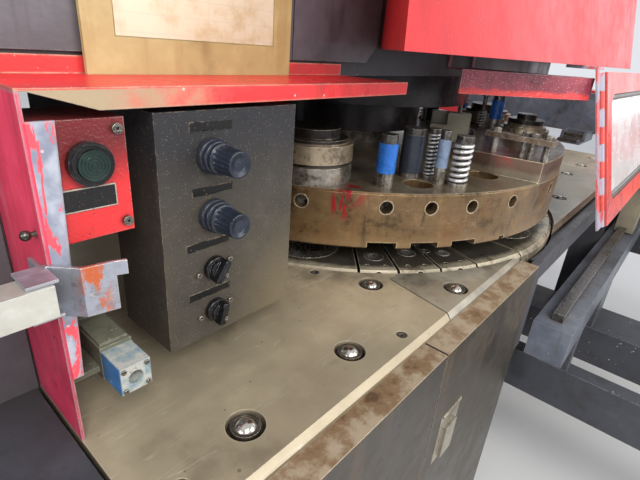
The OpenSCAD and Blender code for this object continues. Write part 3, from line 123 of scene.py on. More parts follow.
def grid_faces(rows, columns, wrap_rows, wrap_columns):
    """Quads between neighbouring points of a grid, closed on itself where wrapped."""
    i = np.arange(rows if wrap_rows else rows - 1)
    j = np.arange(columns if wrap_columns else columns - 1)
    i, j = np.meshgrid(i, j, indexing="ij")
    k, l = (i + 1) % rows, (j + 1) % columns
    return np.stack([i * columns + j, k * columns + j, k * columns + l, i * columns + l], -1).reshape(-1, 4)


class Shell:
    """Grids of points gathered into one piece."""

    def __init__(self):
        self.points, self.quads, self.fans, self.count = [], [], [], 0

    def closed(self, points, loop=False):
        """Adds a grid of rows by columns by 3 whose columns close on themselves. With loop the rows
        do too; otherwise both ends are capped. The sign of its volume turns it outwards."""
        rows, columns = points.shape[:2]
        faces = grid_faces(rows, columns, loop, True)
        flat = points.reshape(-1, 3)
        ends = [] if loop else [np.arange(columns)[::-1], (rows - 1) * columns + np.arange(columns)]
        triangles = [faces[:, [0, 1, 2]], faces[:, [0, 2, 3]]]
        triangles += [np.stack([np.full(len(e) - 2, e[0]), e[1:-1], e[2:]], -1) for e in ends]
        a, b, c = (flat[np.concatenate(triangles)[:, k]] for k in range(3))
        turn = -1 if np.einsum("ij,ij->i", a, np.cross(b, c)).sum() < 0 else 1
        self.quads.append(faces[:, ::turn] + self.count)
        self.fans += [(e[::turn] + self.count).tolist() for e in ends]
        self.points.append(flat)
        self.count += rows * columns

    def piece(self, name, body, finish, smooth_angle=40.0):
        """Makes the object, gives it its finish and puts it on a body of the frame."""
        mesh = bpy.data.meshes.new(name)
        faces = np.concatenate(self.quads).tolist() + self.fans
        mesh.from_pydata(np.concatenate(self.points).tolist(), [], faces)
        mesh.polygons.foreach_set("use_smooth", np.ones(len(mesh.polygons), bool))
        mesh.update()
        mesh.set_sharp_from_angle(angle=math.radians(smooth_angle))
        mesh.materials.append(finish)
        made = bpy.data.objects.new(name, mesh)
        bpy.context.scene.collection.objects.link(made)
        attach(made, body)
        return made


def turned(profile, centre, count=96, ribs=0, depth=0.0):
    """A profile of (radius, height, rib share) carried round an axis along -Y. Ribs cut grooves:
    r(a) = r * (1 - share * depth * (0.5 + 0.5 cos(ribs a)) ^ 0.6)."""
    profile = np.asarray(profile, float)
    a = np.linspace(0.0, 2 * np.pi, count, endpoint=False)[None, :]
    groove = (0.5 + 0.5 * np.cos(ribs * a)) ** 0.6 if ribs else 0 * a
    r = profile[:, :1] * (1.0 - profile[:, 2:] * depth * groove)
    return np.stack([r * np.cos(a), -profile[:, 1:2] + 0 * a, r * np.sin(a)], -1) + np.asarray(centre, float)


def rounded_block(half, centre, turn, power=0.32, rows=18, columns=48):
    """A rounded block: x = A c(p) c(t), z = B c(p) s(t), y = C s(p) with every cosine and sine
    raised to a small power, then turned about Y."""
    def softened(v):
        return np.sign(v) * np.abs(v) ** power
    p = np.linspace(-np.pi / 2 + 0.02, np.pi / 2 - 0.02, rows)[:, None]
    t = np.linspace(0.0, 2 * np.pi, columns, endpoint=False)[None, :]
    x = half[0] * softened(np.cos(p)) * softened(np.cos(t))
    z = half[2] * softened(np.cos(p)) * softened(np.sin(t))
    y = half[1] * softened(np.sin(p)) + 0 * t
    return np.stack([x * math.cos(turn) - z * math.sin(turn), y,
                     x * math.sin(turn) + z * math.cos(turn)], -1) + np.asarray(centre, float)


def rim_ring(radius, angle, height, hole, wide=0.0016, proud=0.0003):
    """A narrow ring round a hole in the turret's rim: at angle p round the hole and distance q from
    its middle, u = q cos p runs along the rim, q sin p up it, and the rim bends back by R - sqrt(R R - u u)."""
    p = np.linspace(0.0, 2 * np.pi, 40, endpoint=False)[:, None]
    q = np.array([hole - 0.0002, hole - 0.0002, hole + wide, hole + wide])[None, :]
    lift = np.array([-0.0015, proud, proud, -0.0008])[None, :]
    u, v = q * np.cos(p), q * np.sin(p)
    out = np.sqrt(radius ** 2 - u ** 2) + lift
    a = math.radians(angle)
    return np.stack([out * math.cos(a) - u * math.sin(a), out * math.sin(a) + u * math.cos(a), height + v], -1)


def pane_seal(inset=0.006, half=(0.0066, 0.0095), corner_steps=14, around=16):
    """The window's seal: a rounded box section (|u| ^ 4 + |v| ^ 4 = 1) carried along the pane's outline,
    which is four straight sides joined by quarter circles, then tilted with the door about its hinge."""
    (x0, x1), (z0, z1), radius = PANE
    r = radius - inset
    quarter = np.linspace(0.0, np.pi / 2, corner_steps)
    turn = np.concatenate([quarter + k * np.pi / 2 for k in range(4)])
    mid_x = np.repeat([x1 - radius, x0 + radius, x0 + radius, x1 - radius], corner_steps)
    mid_z = np.repeat([z1 - radius, z1 - radius, z0 + radius, z0 + radius], corner_steps)
    s = np.linspace(0.0, 2 * np.pi, around, endpoint=False)[None, :]
    u = half[0] * np.sign(np.cos(s)) * np.abs(np.cos(s)) ** 0.5
    v = half[1] * np.sign(np.sin(s)) * np.abs(np.sin(s)) ** 0.5
    x = mid_x[:, None] + (r + u) * np.cos(turn)[:, None]
    z = mid_z[:, None] + (r + u) * np.sin(turn)[:, None]
    y = v + 0 * x
    c, k = math.cos(DOOR_TILT), math.sin(DOOR_TILT)
    return np.stack([x, y * c - z * k, y * k + z * c], -1) + np.asarray(DOOR_HINGE)


def sheet_of_paper(low, high, thick=0.0004, wave=0.0002):
    """A sheet standing in its recess: across it runs along the front and back along the rear,
    and its face is lifted by a low wave, sin(x) sin(z)."""
    x = np.linspace(low[0], high[0], 25)
    z = np.linspace(low[2], high[2], 21)[:, None]
    there = high[1] - thick - wave * (1 + np.sin(38.0 * x)[None, :] * np.sin(23.0 * z + 1.0))
    front = np.stack([x[None, :] + 0 * z, there, z + 0 * x], -1)
    back = np.stack([x[None, ::-1] + 0 * z, high[1] + 0 * there, z + 0 * x], -1)
    return np.concatenate([front, back], 1)


def helix(centre, low, high, radius, wire, turns, steps=22, sides=8):
    """A wire of round section carried along a helix: the middle of the wire stands at angle t,
    radius R and height low + rise * f(t), where f climbs slowly over the first and last turn."""
    t = np.linspace(0.0, 1.0, int(turns * steps) + 1)
    ease = np.clip(np.minimum(t, 1 - t) * turns / 0.9, 0.05, 1.0)
    f = np.concatenate([[0.0], np.cumsum((ease[1:] + ease[:-1]) / 2)])
    f /= f[-1]
    angle = 2 * np.pi * turns * t
    height = low + wire / 2 + (high - low - wire) * f
    out = np.stack([np.cos(angle), np.sin(angle), 0 * angle], -1)
    along = np.gradient(np.stack([radius * np.cos(angle), radius * np.sin(angle), height], -1), axis=0)
    along /= np.linalg.norm(along, axis=1, keepdims=True)
    up = np.cross(along, out)
    phi = np.linspace(0.0, 2 * np.pi, sides, endpoint=False)
    ring = (np.cos(phi)[None, :, None] * out[:, None] + np.sin(phi)[None, :, None] * up[:, None]) * wire / 2
    middle = np.stack([radius * np.cos(angle), radius * np.sin(angle), height], -1)
    return ring + middle[:, None] + np.asarray(centre, float)


def add_spring(shell, centre, low, high, outer, wire, turns):
    """Adds one closed coil spring to a piece."""
    shell.closed(helix(centre, low, high, (outer - wire) / 2, wire, turns))


def add_station_spring(shell, spring, start, wire, turns):
    """Adds the spring of a station, whose angle counts from start."""
    radius, angle, low, high, outer = spring
    add_spring(shell, station(radius, start + angle), low, high, outer, wire, turns)


# Materials

class Wiring:
    """Adds nodes to one tree, from left to right, and joins them."""

    def __init__(self, tree):
        self.tree, self.made = tree, 0

    def add(self, kind, inputs=None, **settings):
        """Adds a node with its settings, and joins or sets its inputs."""
        made = self.tree.nodes.new(kind if kind.startswith("Node") else "ShaderNode" + kind)
        for key, value in settings.items():
            setattr(made, key, value)
        for key, value in (inputs or {}).items():
            self.put(made.inputs[key], value)
        made.location = (180 * (self.made // 4), -220 * (self.made % 4))
        self.made += 1
        return made

    def put(self, socket, value):
        """Links another node's output to a socket, or sets the socket."""
        if isinstance(value, bpy.types.NodeSocket):
            self.tree.links.new(value, socket)
        elif hasattr(value, "__len__") and socket.type == "RGBA" and len(value) == 3:
            socket.default_value = (*value, 1.0)
        else:
            socket.default_value = value

    def noise(self, place, scale, detail=3.0, roughness=0.5, distortion=0.0):
        return self.add("TexNoise", {"Vector": place, "Scale": scale, "Detail": detail, "Roughness": roughness,
                                     "Distortion": distortion}).outputs["Fac"]

    def stretched(self, place, scale, turn=(0.0, 0.0, 0.0)):
        return self.add("Mapping", {"Vector": place, "Scale": scale, "Rotation": turn}).outputs[0]

    def calc(self, operation, a, b=0.0, clamp=False):
        made = self.add("Math", {0: a, 1: b}, operation=operation)
        made.use_clamp = clamp
        return made.outputs[0]

    def times(self, a, b):
        return self.calc("MULTIPLY", a, b)

    def plus(self, a, b):
        return self.calc("ADD", a, b)

    def minus(self, a, b):
        return self.calc("SUBTRACT", a, b)

    def most(self, a, b):
        return self.calc("MAXIMUM", a, b)

    def distance_out(self, x, y):
        """Distance from the turret's axis."""
        return self.calc("SQRT", self.plus(self.times(x, x), self.times(y, y)))

    def band(self, value, low, high, start=0.0, end=1.0):
        """Rises smoothly from start to end as the value goes from low to high."""
        return self.add("MapRange", {"Value": value, "From Min": low, "From Max": high, "To Min": start,
                                     "To Max": end}, interpolation_type="SMOOTHSTEP").outputs["Result"]

    def blend(self, factor, a, b, mode="MIX"):
        return self.add("Mix", {0: factor, 6: a, 7: b}, data_type="RGBA", blend_type=mode).outputs[2]

    def between(self, factor, a, b):
        return self.add("Mix", {0: factor, 2: a, 3: b}, data_type="FLOAT").outputs[0]

    def over(self, colour, tint, value, low, high, share=1.0):
        """Lays a tint over a colour, up to a share, as the value goes from low to high."""
        return self.blend(self.band(value, low, high, 0.0, share), colour, tint)

    def strip(self, value, low, low_full, high_full, high):
        """1 between two soft edges."""
        return self.times(self.band(value, low, low_full), self.band(value, high, high_full))

    def streaks(self, place, scale, detail=3.0, roughness=0.5, distortion=0.0):
        """Noise whose scale differs along X, Y and Z."""
        return self.noise(self.stretched(place, scale), 1.0, detail, roughness, distortion)

    def near(self, place, spot, reach, soft):
        """1 within reach of a spot, falling to 0 over soft."""
        gap = self.add("VectorMath", {0: place, 1: spot}, operation="DISTANCE").outputs["Value"]
        return self.band(gap, reach + soft, reach)

    def parts(self, place):
        return self.add("SeparateXYZ", {0: place}).outputs

    def joined(self, x, y, z):
        return self.add("CombineXYZ", {0: x, 1: y, 2: z}).outputs[0]

    def use(self, effect_name, place, **inputs):
        """Places a shared effect and returns its outputs."""
        made = self.add("Group")
        made.node_tree = EFFECTS[effect_name]
        for key, value in {"Position": place, **inputs}.items():
            self.put(made.inputs[key], value)
        return made.outputs


EFFECTS = {}
KINDS = {"v": "NodeSocketVector", "f": "NodeSocketFloat", "c": "NodeSocketColor"}


def effect(name, takes, gives, build):
    """Makes a shared effect once: a node group with named inputs and outputs."""
    tree = bpy.data.node_groups.new(name, "ShaderNodeTree")
    for label, kind, value in takes:
        socket = tree.interface.new_socket(label, in_out="INPUT", socket_type=KINDS[kind])
        if value is not None:
            socket.default_value = (*value, 1.0) if kind == "c" else value
    for label, kind in gives:
        tree.interface.new_socket(label, in_out="OUTPUT", socket_type=KINDS[kind])
    w = Wiring(tree)
    source = w.add("NodeGroupInput")
    results = build(w, source.outputs)
    sink = w.add("NodeGroupOutput")
    for label, value in results.items():
        tree.links.new(value, sink.inputs[label])
    EFFECTS[name] = tree


def build_worn_edge(w, given):
    """Bare edges: how far a rounded normal turns from the face's own, broken up by noise."""
    wide = w.add("Bevel", {"Radius": given["Width"]}, samples=4).outputs[0]
    fine = w.add("Bevel", {"Radius": given["Rounding"]}, samples=4).outputs[0]
    flat = w.add("NewGeometry").outputs["Normal"]
    turn = w.add("VectorMath", {0: wide, 1: flat}, operation="DOT_PRODUCT").outputs["Value"]
    edge = w.band(turn, 0.995, 0.8)
    rough = w.noise(given["Position"], given["Breakup"], 5.0, 0.65)
    value = w.plus(edge, w.times(w.minus(rough, 0.5), 1.5))
    level = w.minus(1.25, given["Amount"])
    mask = w.band(w.minus(value, level), 0.0, 0.18)
    return {"Mask": w.times(mask, w.band(edge, 0.0, 0.12)), "Normal": fine}


def build_mottle(w, given):
    """Cloudy colour: a wide and a fine noise, added and mapped over three colours."""
    wide = w.noise(given["Position"], given["Scale"], 5.0, 0.6, 0.6)
    fine = w.noise(given["Position"], w.times(given["Scale"], 7.0), 4.0, 0.6)
    value = w.plus(w.times(wide, 0.65), w.times(fine, 0.35))
    low = w.blend(w.band(value, 0.36, 0.5), given["Dark"], given["Middle"])
    return {"Colour": w.blend(w.band(value, 0.5, 0.66), low, given["Light"]), "Value": value}


def build_scratches(w, given):
    """Fine scratches: where strongly stretched noise passes through its middle value, in three directions."""
    total = None
    for turn, scale in ((0.15, 60.0), (1.05, 90.0), (-0.75, 75.0)):
        place = w.stretched(given["Position"], (scale * 0.045, scale, scale), (0.0, 0.0, turn))
        gap = w.calc("ABSOLUTE", w.minus(w.noise(place, 1.0, 2.0, 0.5), 0.5))
        line = w.times(w.band(gap, 0.01, 0.001), w.band(w.noise(place, 0.37, 1.0), 0.5, 0.62))
        total = line if total is None else w.most(total, line)
    return {"Mask": w.times(total, given["Amount"])}


def build_specks(w, given):
    """Specks: small blots round some points of a cell pattern."""
    cells = w.add("TexVoronoi", {"Vector": given["Position"], "Scale": given["Scale"]})
    chance = w.parts(w.add("VectorMath", {0: cells.outputs["Color"]}, operation="ABSOLUTE").outputs[0])
    size = w.times(chance[1], given["Size"])
    blot = w.band(w.minus(size, cells.outputs["Distance"]), 0.0, 0.06)
    picked = w.calc("LESS_THAN", chance[0], given["Share"])
    return {"Mask": w.times(blot, picked)}


def build_corner_dirt_and_shade(w, given):
    """Dirt and painted shade in corners and under nearby parts: what nearby faces shade, by ambient occlusion,
    broken up by noise.
    """
    open_sky = w.add("AmbientOcclusion", {"Distance": given["Reach"]}, samples=4, only_local=False)
    rough = w.noise(given["Position"], 14.0, 5.0, 0.65)
    shade = w.minus(1.0, open_sky.outputs["AO"])
    value = w.times(shade, w.band(rough, 0.25, 0.65, 0.35, 1.4))
    return {"Mask": w.calc("MULTIPLY", value, given["Amount"], clamp=True)}


def build_runs(w, given):
    """Marks that run down: noise stretched along Z."""
    wide = w.streaks(given["Position"], (38.0, 38.0, 2.6), 4.0, 0.6)
    fine = w.streaks(given["Position"], (140.0, 140.0, 9.0), 3.0, 0.6)
    value = w.plus(w.times(wide, 0.65), w.times(fine, 0.35))
    return {"Mask": w.times(w.band(value, 0.5, 0.66), given["Amount"])}


def make_effects():
    """Makes every shared effect."""
    effect("Worn edge", [("Position", "v", None), ("Width", "f", 0.002), ("Rounding", "f", 0.0007),
                         ("Breakup", "f", 60.0), ("Amount", "f", 0.5)],
           [("Mask", "f"), ("Normal", "v")], build_worn_edge)
    effect("Mottle", [("Position", "v", None), ("Scale", "f", 8.0), ("Light", "c", (0.4, 0.4, 0.4)),
                      ("Middle", "c", (0.3, 0.3, 0.3)), ("Dark", "c", (0.2, 0.2, 0.2))],
           [("Colour", "c"), ("Value", "f")], build_mottle)
    effect("Scratches", [("Position", "v", None), ("Amount", "f", 0.5)], [("Mask", "f")], build_scratches)
    effect("Specks", [("Position", "v", None), ("Scale", "f", 60.0), ("Size", "f", 0.3), ("Share", "f", 0.3)],
           [("Mask", "f")], build_specks)
    # Painted shade from ambient occlusion in corners and under nearby parts, standing also for dirt there
    effect("Corner dirt and shade", [("Position", "v", None), ("Reach", "f", 0.03), ("Amount", "f", 0.6)],
           [("Mask", "f")], build_corner_dirt_and_shade)
    effect("Runs", [("Position", "v", None), ("Amount", "f", 0.5)], [("Mask", "f")], build_runs)


def shaded(w, colour, roughness, metallic=0.0, normal=None, **plain):
    """Ends a material: the Principled shader, with constants on its own sockets."""
    shader = w.tree.nodes.new("ShaderNodeBsdfPrincipled")
    shader.location = (180 * (w.made // 4 + 1), 0)
    w.put(shader.inputs["Base Color"], colour)
    w.put(shader.inputs["Roughness"], roughness)
    w.put(shader.inputs["Metallic"], metallic)
    if normal is not None:
        w.put(shader.inputs["Normal"], normal)
    for key, value in plain.items():
        w.put(shader.inputs[key.replace("_", " ")], value)
    end = w.tree.nodes.new("ShaderNodeOutputMaterial")
    end.location = (180 * (w.made // 4 + 3), 0)
    w.tree.links.new(shader.outputs[0], end.inputs["Surface"])


def started(name):
    """A new material with an empty tree, its wiring and its object coordinates."""
    material = bpy.data.materials.new(name)
    material.use_nodes = True
    material.node_tree.nodes.clear()
    w = Wiring(material.node_tree)
    return material, w, w.add("TexCoord").outputs["Object"]


def bumped(w, height, distance, normal):
    """A Bump node at full strength over a rounded normal."""
    return w.add("Bump", {"Height": height, "Distance": distance, "Strength": 1.0, "Normal": normal}).outputs[0]


def by(colour, k):
    """A colour made lighter or darker by a factor."""
    return tuple(min(1.0, c * k) for c in colour)


def paint(name, light, middle, dark, bare, dirt, *, gloss=0.3, wear=0.3, width=0.003, peel=220.0,
          peel_depth=0.0002, specks=0.05, speck_colour=(0.45, 0.42, 0.4), speck_scale=260.0, runs=0.4,
          corner=0.7, coat=0.0, shine=0.5, extra=None):
    """Painted sheet: cloudy paint, bare worn edges, chips, marks that run down, and dirt with painted shade in
    the corners.
    """
    material, w, place = started(name)
    tone = w.use("Mottle", place, Scale=5.0, Light=light, Middle=middle, Dark=dark)
    edge = w.use("Worn edge", place, Width=width, Breakup=75.0, Amount=wear)
    chips = w.use("Specks", place, Scale=speck_scale, Size=0.34, Share=specks)["Mask"]
    down = w.use("Runs", place, Amount=runs)["Mask"]
    corners = w.use("Corner dirt and shade", place, Reach=0.05, Amount=corner)["Mask"]
    dirt_and_shade = w.most(down, corners)
    # The dirt colour over the runs, and over the corners, where it is painted shade as well
    colour = w.blend(dirt_and_shade, tone["Colour"], dirt)
    if extra is not None:
        colour, dirt_and_shade = extra(w, place, colour, dirt_and_shade)
    colour = w.blend(chips, colour, speck_colour)
    steel = w.use("Mottle", place, Scale=30.0, Light=bare, Middle=by(bare, 0.78), Dark=by(bare, 0.42))["Colour"]
    colour = w.blend(edge["Mask"], colour, steel)
    rough = w.between(dirt_and_shade, w.band(tone["Value"], 0.3, 0.7, gloss - 0.06, gloss + 0.12), 0.72)
    rough = w.between(edge["Mask"], rough, 0.36)
    height = w.noise(place, peel, 2.0, 0.5)
    height = w.minus(height, w.times(edge["Mask"], 0.6))
    normal = bumped(w, height, peel_depth, edge["Normal"])
    metal = w.times(edge["Mask"], 0.75)
    shaded(w, colour, rough, metal, normal, Coat_Weight=coat, Coat_Roughness=0.12, Specular_IOR_Level=shine)
    return material


def steel(name, light, middle, dark, *, scale=16.0, smooth=0.3, dull=0.42, metallic=0.6, scratch=0.3,
          scratch_colour=(0.78, 0.74, 0.66), rust=(0.2, 0.09, 0.035), rust_share=0.0,
          corner=0.4, wear=0.6, width=0.002, edge_colour=(0.72, 0.68, 0.58),
          grain=0.00012, extra=None, reach=0.03, coat=0.0):
    """Used bare steel: cloudy oxide, fine scratches, rust blots, bright edges, and oil with painted shade in
    the corners.
    """
    material, w, place = started(name)
    tone = w.use("Mottle", place, Scale=scale, Light=light, Middle=middle, Dark=dark)
    edge = w.use("Worn edge", place, Width=width, Breakup=110.0, Amount=wear)
    lines = w.use("Scratches", place, Amount=scratch)["Mask"]
    corners = w.use("Corner dirt and shade", place, Reach=reach, Amount=corner)["Mask"]
    colour = w.blend(lines, tone["Colour"], scratch_colour)
    patches = w.times(w.band(w.noise(place, 23.0, 6.0, 0.7), 0.58, 0.7), rust_share)
    colour = w.blend(patches, colour, rust)
    dirt_and_shade = corners
    if extra is not None:
        colour, dirt_and_shade = extra(w, place, colour, dirt_and_shade)
    colour = w.blend(edge["Mask"], colour, edge_colour)
    # Near black oil over the corners, where it is painted shade as well, and over the marks' stains
    colour = w.blend(dirt_and_shade, colour, (0.03, 0.022, 0.014))
    rough = w.band(tone["Value"], 0.35, 0.65, smooth, dull)
    rough = w.between(patches, rough, 0.78)
    rough = w.between(edge["Mask"], rough, 0.25)
    fine = w.noise(w.stretched(place, (420.0, 420.0, 420.0)), 1.0, 2.0, 0.6)
    height = w.minus(fine, w.times(lines, 0.8))
    normal = bumped(w, height, grain, edge["Normal"])
    metal = w.times(w.minus(1.0, w.most(patches, dirt_and_shade)), metallic)
    shaded(w, colour, rough, metal, normal, Coat_Weight=coat, Coat_Roughness=0.2)
    return material


def plastic(name, colour, dust, *, gloss=0.34, dusty=0.5, wear=0.3, edge_colour):
    """Moulded plastic: fine moulding grain, dust with painted shade in the corners and rubbed edges."""
    material, w, place = started(name)
    tone = w.use("Mottle", place, Scale=40.0, Light=tuple(c * 1.25 + 0.004 for c in colour), Middle=colour,
                 Dark=by(colour, 0.7))
    edge = w.use("Worn edge", place, Width=0.0009, Rounding=0.0005, Breakup=160.0, Amount=wear)
    corners = w.use("Corner dirt and shade", place, Reach=0.012, Amount=dusty)["Mask"]
    # The dust colour in the corners, where it is painted shade as well
    shade = w.blend(corners, tone["Colour"], dust)
    shade = w.blend(edge["Mask"], shade, edge_colour)
    rough = w.between(corners, w.band(tone["Value"], 0.35, 0.65, gloss - 0.08, gloss + 0.1), 0.8)
    normal = bumped(w, w.noise(place, 900.0, 2.0, 0.5), 0.00006, edge["Normal"])
    shaded(w, shade, rough, 0.0, normal, Specular_IOR_Level=0.38)
    return material


def turret_marks(w, place, colour, dirt_and_shade):
    """Fine turning marks round the turret, brown stains that run down its rim, oil on its top round the
    tools, its top face lightened as painted light, and red grease by the large tool and on the pad."""
    x, y, z = w.parts(place)
    out = w.distance_out(x, y)
    rings = w.noise(w.joined(w.times(out, 900.0), w.times(z, 900.0), 0.0), 1.0, 2.0)
    colour = w.over(colour, (0.38, 0.29, 0.18), rings, 0.55, 0.75, 0.25)
    rust = w.streaks(place, (14.0, 14.0, 7.0), 6.0, 0.7, 0.6)
    colour = w.over(colour, (0.19, 0.09, 0.032), rust, 0.5, 0.66, 0.65)
    stains = w.streaks(place, (24.0, 24.0, 4.5), 6.0, 0.7, 0.8)
    colour = w.over(colour, (0.04, 0.024, 0.013), stains, 0.57, 0.72, 0.8)
    colour = w.over(colour, (0.36, 0.24, 0.13), z, RIM_FOOT, RIM_FOOT - 0.027, 0.4)
    pad = w.band(z, TURRET_TOP + 0.008, TURRET_TOP + 0.018)
    colour = w.blend(w.times(pad, 0.65), colour, (0.11, 0.068, 0.06))
    top = w.times(w.band(z, TURRET_TOP - 0.001, TURRET_TOP - 0.0002), w.minus(1.0, pad))
    oil = w.times(top, w.band(w.noise(place, 17.0, 5.0, 0.65), 0.44, 0.62, 0.0, 0.5))
    # Painted light: the top face is lightened, making up for the hood's shade over it
    colour = w.blend(w.times(top, 0.55), colour, (0.3, 0.27, 0.2))
    colour = w.blend(oil, colour, (0.1, 0.082, 0.058))
    grease = w.most(w.near(place, GREASE_BY_TOOL, 0.014, 0.024), w.near(place, GREASE_ON_PAD, 0.02, 0.05))
    blot = w.times(grease, w.band(w.noise(place, 60.0, 4.0, 0.7), 0.48, 0.56))
    drips = w.times(w.near(place, GREASE_ON_RIM, 0.012, 0.022),
                    w.band(w.streaks(place, (110.0, 110.0, 16.0), 3.0, 0.6), 0.54, 0.6))
    colour = w.blend(w.most(blot, drips), colour, (0.34, 0.01, 0.02))
    return colour, w.most(dirt_and_shade, w.times(w.band(stains, 0.6, 0.74), 0.25))


def holder_marks(w, place, colour, dirt_and_shade):
    """Black oil over the inner part of the die holders, which leaves their outer rim pale."""
    x, y, _ = w.parts(place)
    rim = float(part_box("die_holders")[1][0])
    ragged = w.plus(w.distance_out(x, y), w.times(w.noise(place, 16.0, 5.0, 0.65), 0.03))
    oil = w.times(w.band(ragged, rim + 0.004, rim - 0.012), 0.88)
    return w.blend(oil, colour, (0.016, 0.014, 0.013)), dirt_and_shade


def table_marks(w, place, colour, dirt_and_shade):
    """Long wiped marks along the table, small dark pits and an oily band round the turret."""
    x, y, _ = w.parts(place)
    wiped = w.noise(w.stretched(place, (2.2, 30.0, 8.0), (0.0, 0.0, 0.35)), 1.0, 5.0, 0.65)
    colour = w.over(colour, (0.54, 0.47, 0.33), wiped, 0.5, 0.7, 0.28)
    colour = w.over(colour, (0.22, 0.185, 0.125), w.noise(place, 2.6, 4.0, 0.55), 0.46, 0.62, 0.45)
    pits = w.use("Specks", place, Scale=90.0, Size=0.2, Share=0.16)["Mask"]
    colour = w.blend(w.times(pits, 0.55), colour, (0.09, 0.07, 0.05))
    oily = w.times(w.band(w.distance_out(x, y), 0.66, 0.55), w.band(w.noise(place, 11.0, 5.0, 0.65), 0.42, 0.6))
    return w.blend(w.times(oily, 0.6), colour, (0.12, 0.095, 0.06)), dirt_and_shade


def cover_marks(w, place, colour, dirt_and_shade):
    """Rusty ledge under the table's edge, with pale dust along its rim, and dull runs down the covers."""
    z = w.parts(place)[2]
    down = w.use("Runs", place, Amount=0.9)["Mask"]
    colour = w.blend(w.times(down, w.band(z, 0.55, LEDGE, 0.1, 0.5)), colour, (0.12, 0.07, 0.035))
    ledge = w.band(z, LEDGE - 0.0015, LEDGE - 0.0002)
    rust = w.streaks(place, (16.0, 16.0, 16.0), 6.0, 0.72)
    tone = w.blend(w.band(rust, 0.42, 0.56), (0.42, 0.335, 0.235), (0.24, 0.155, 0.085))
    tone = w.over(tone, (0.12, 0.07, 0.04), rust, 0.56, 0.66)
    return w.blend(w.times(ledge, 0.92), colour, tone), dirt_and_shade


def side_marks(w, place, colour, dirt_and_shade):
    """The side guard: crimson sheet, dirty at its foot, and a strip worn to bare steel with red remains."""
    edge = float(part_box("jog_box")[0][0])
    x, _, z = w.parts(place)
    colour = w.over(colour, (0.6, 0.26, 0.34), w.streaks(place, (30.0, 30.0, 3.5), 5.0, 0.7), 0.55, 0.75, 0.4)
    colour = w.over(colour, (0.26, 0.02, 0.06), z, 1.1, 0.93, 0.4)
    flakes = w.streaks(place, (55.0, 55.0, 13.0), 6.0, 0.68, 0.5)
    bare = w.blend(w.band(w.noise(place, 45.0, 4.0), 0.4, 0.65), (0.2, 0.22, 0.29), (0.38, 0.4, 0.47))
    bare = w.over(bare, (0.68, 0.075, 0.1), flakes, 0.515, 0.55)
    return w.over(colour, bare, x, edge - 0.0002, edge + 0.0002), dirt_and_shade


def roof_marks(w, place, colour, dirt_and_shade):
    """The roof's lip, rubbed to tan undercoat at its left and red again towards the right."""
    x, y, z = w.parts(place)
    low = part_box("guard_roof")[0]
    lip = w.times(w.band(y, low[1] + 0.0012, low[1] + 0.0006), w.band(z, low[2] + 0.015, low[2] + 0.014))
    ragged = w.plus(x, w.times(w.noise(place, 30.0, 5.0, 0.7), 0.22))
    return w.blend(w.times(lip, w.band(ragged, -0.56, -0.7)), colour, (0.36, 0.27, 0.17)), dirt_and_shade


def jog_marks(w, place, colour, dirt_and_shade):
    """Painted shade of the roof, darker red towards the top of the jog box, and its blank black plate with a
    pale border.
    """
    x, y, z = w.parts(place)
    low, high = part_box("jog_box")
    # Painted shade: the roof's shadow, darker red towards the top of the box
    colour = w.over(colour, (0.085, 0.008, 0.01), z, high[2] - 0.06, high[2] - 0.015, 0.9)
    plate = w.band(y, low[1] + 0.0009, low[1] + 0.0007)
    side = w.strip(x, low[0] + 0.0146, low[0] + 0.0152, high[0] - 0.0132, high[0] - 0.0126)
    ends = w.strip(z, low[2] + 0.0246, low[2] + 0.0252, low[2] + 0.0408, low[2] + 0.0414)
    face = w.blend(w.times(side, ends), (0.42, 0.37, 0.31), (0.003, 0.003, 0.004))
    return w.blend(plate, colour, face), w.between(plate, dirt_and_shade, 0.0)


def box_marks(w, place, colour, dirt_and_shade):
    """Darker and cooler towards the top of the pressure box, warm dust low at its right, black label strips."""
    x, y, z = w.parts(place)
    low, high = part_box("pressure_box")
    # Darker and cooler towards the top of the box
    colour = w.over(colour, (0.014, 0.015, 0.021), z, 1.06, 1.15, 0.85)
    dust = w.times(w.band(x, low[0] + 0.04, high[0]), w.band(z, 1.06, 0.93))
    colour = w.blend(w.times(dust, 0.75), colour, (0.16, 0.125, 0.075))
    label = w.band(y, low[1] + 0.0006, low[1] + 0.0004)
    return w.blend(label, colour, (0.003, 0.003, 0.003)), w.between(label, dirt_and_shade, 0.0)


def speckle_marks(w, place, colour, dirt_and_shade):
    """Bright red along the lower edge of the far guard, which oil and fine metal dust have darkened."""
    low = float(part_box("far_guard")[0][2])
    ragged = w.plus(w.parts(place)[2], w.times(w.noise(place, 40.0, 5.0, 0.7), 0.018))
    return w.over(colour, (0.68, 0.045, 0.04), ragged, low + 0.024, low + 0.014), dirt_and_shade


def head_marks(w, place, colour, dirt_and_shade):
    """The switch head: clean blue at its left side, rubbed to grey on its front and top."""
    low = float(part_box("switch_head")[0][0])
    worn = w.noise(place, 70.0, 6.0, 0.7)
    front = w.band(w.parts(place)[0], low + 0.0003, low + 0.001)
    grey = w.blend(w.band(worn, 0.46, 0.6), (0.26, 0.31, 0.3), (0.42, 0.41, 0.37))
    grey = w.over(grey, (0.11, 0.1, 0.085), worn, 0.62, 0.7)
    return w.blend(w.times(front, w.band(worn, 0.38, 0.46, 0.55, 0.95)), colour, grey), dirt_and_shade


def keeper_marks(w, place, colour, dirt_and_shade):
    """Orange red paint left along the bend of the keeper."""
    low = float(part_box("jog_box")[0][0])
    bend = w.strip(w.parts(place)[0], low + 0.006, low + 0.016, low + 0.024, low + 0.034)
    left = w.band(w.streaks(place, (60.0, 60.0, 26.0), 6.0, 0.7), 0.5, 0.56)
    return w.blend(w.times(bend, left), colour, (0.62, 0.15, 0.06)), dirt_and_shade


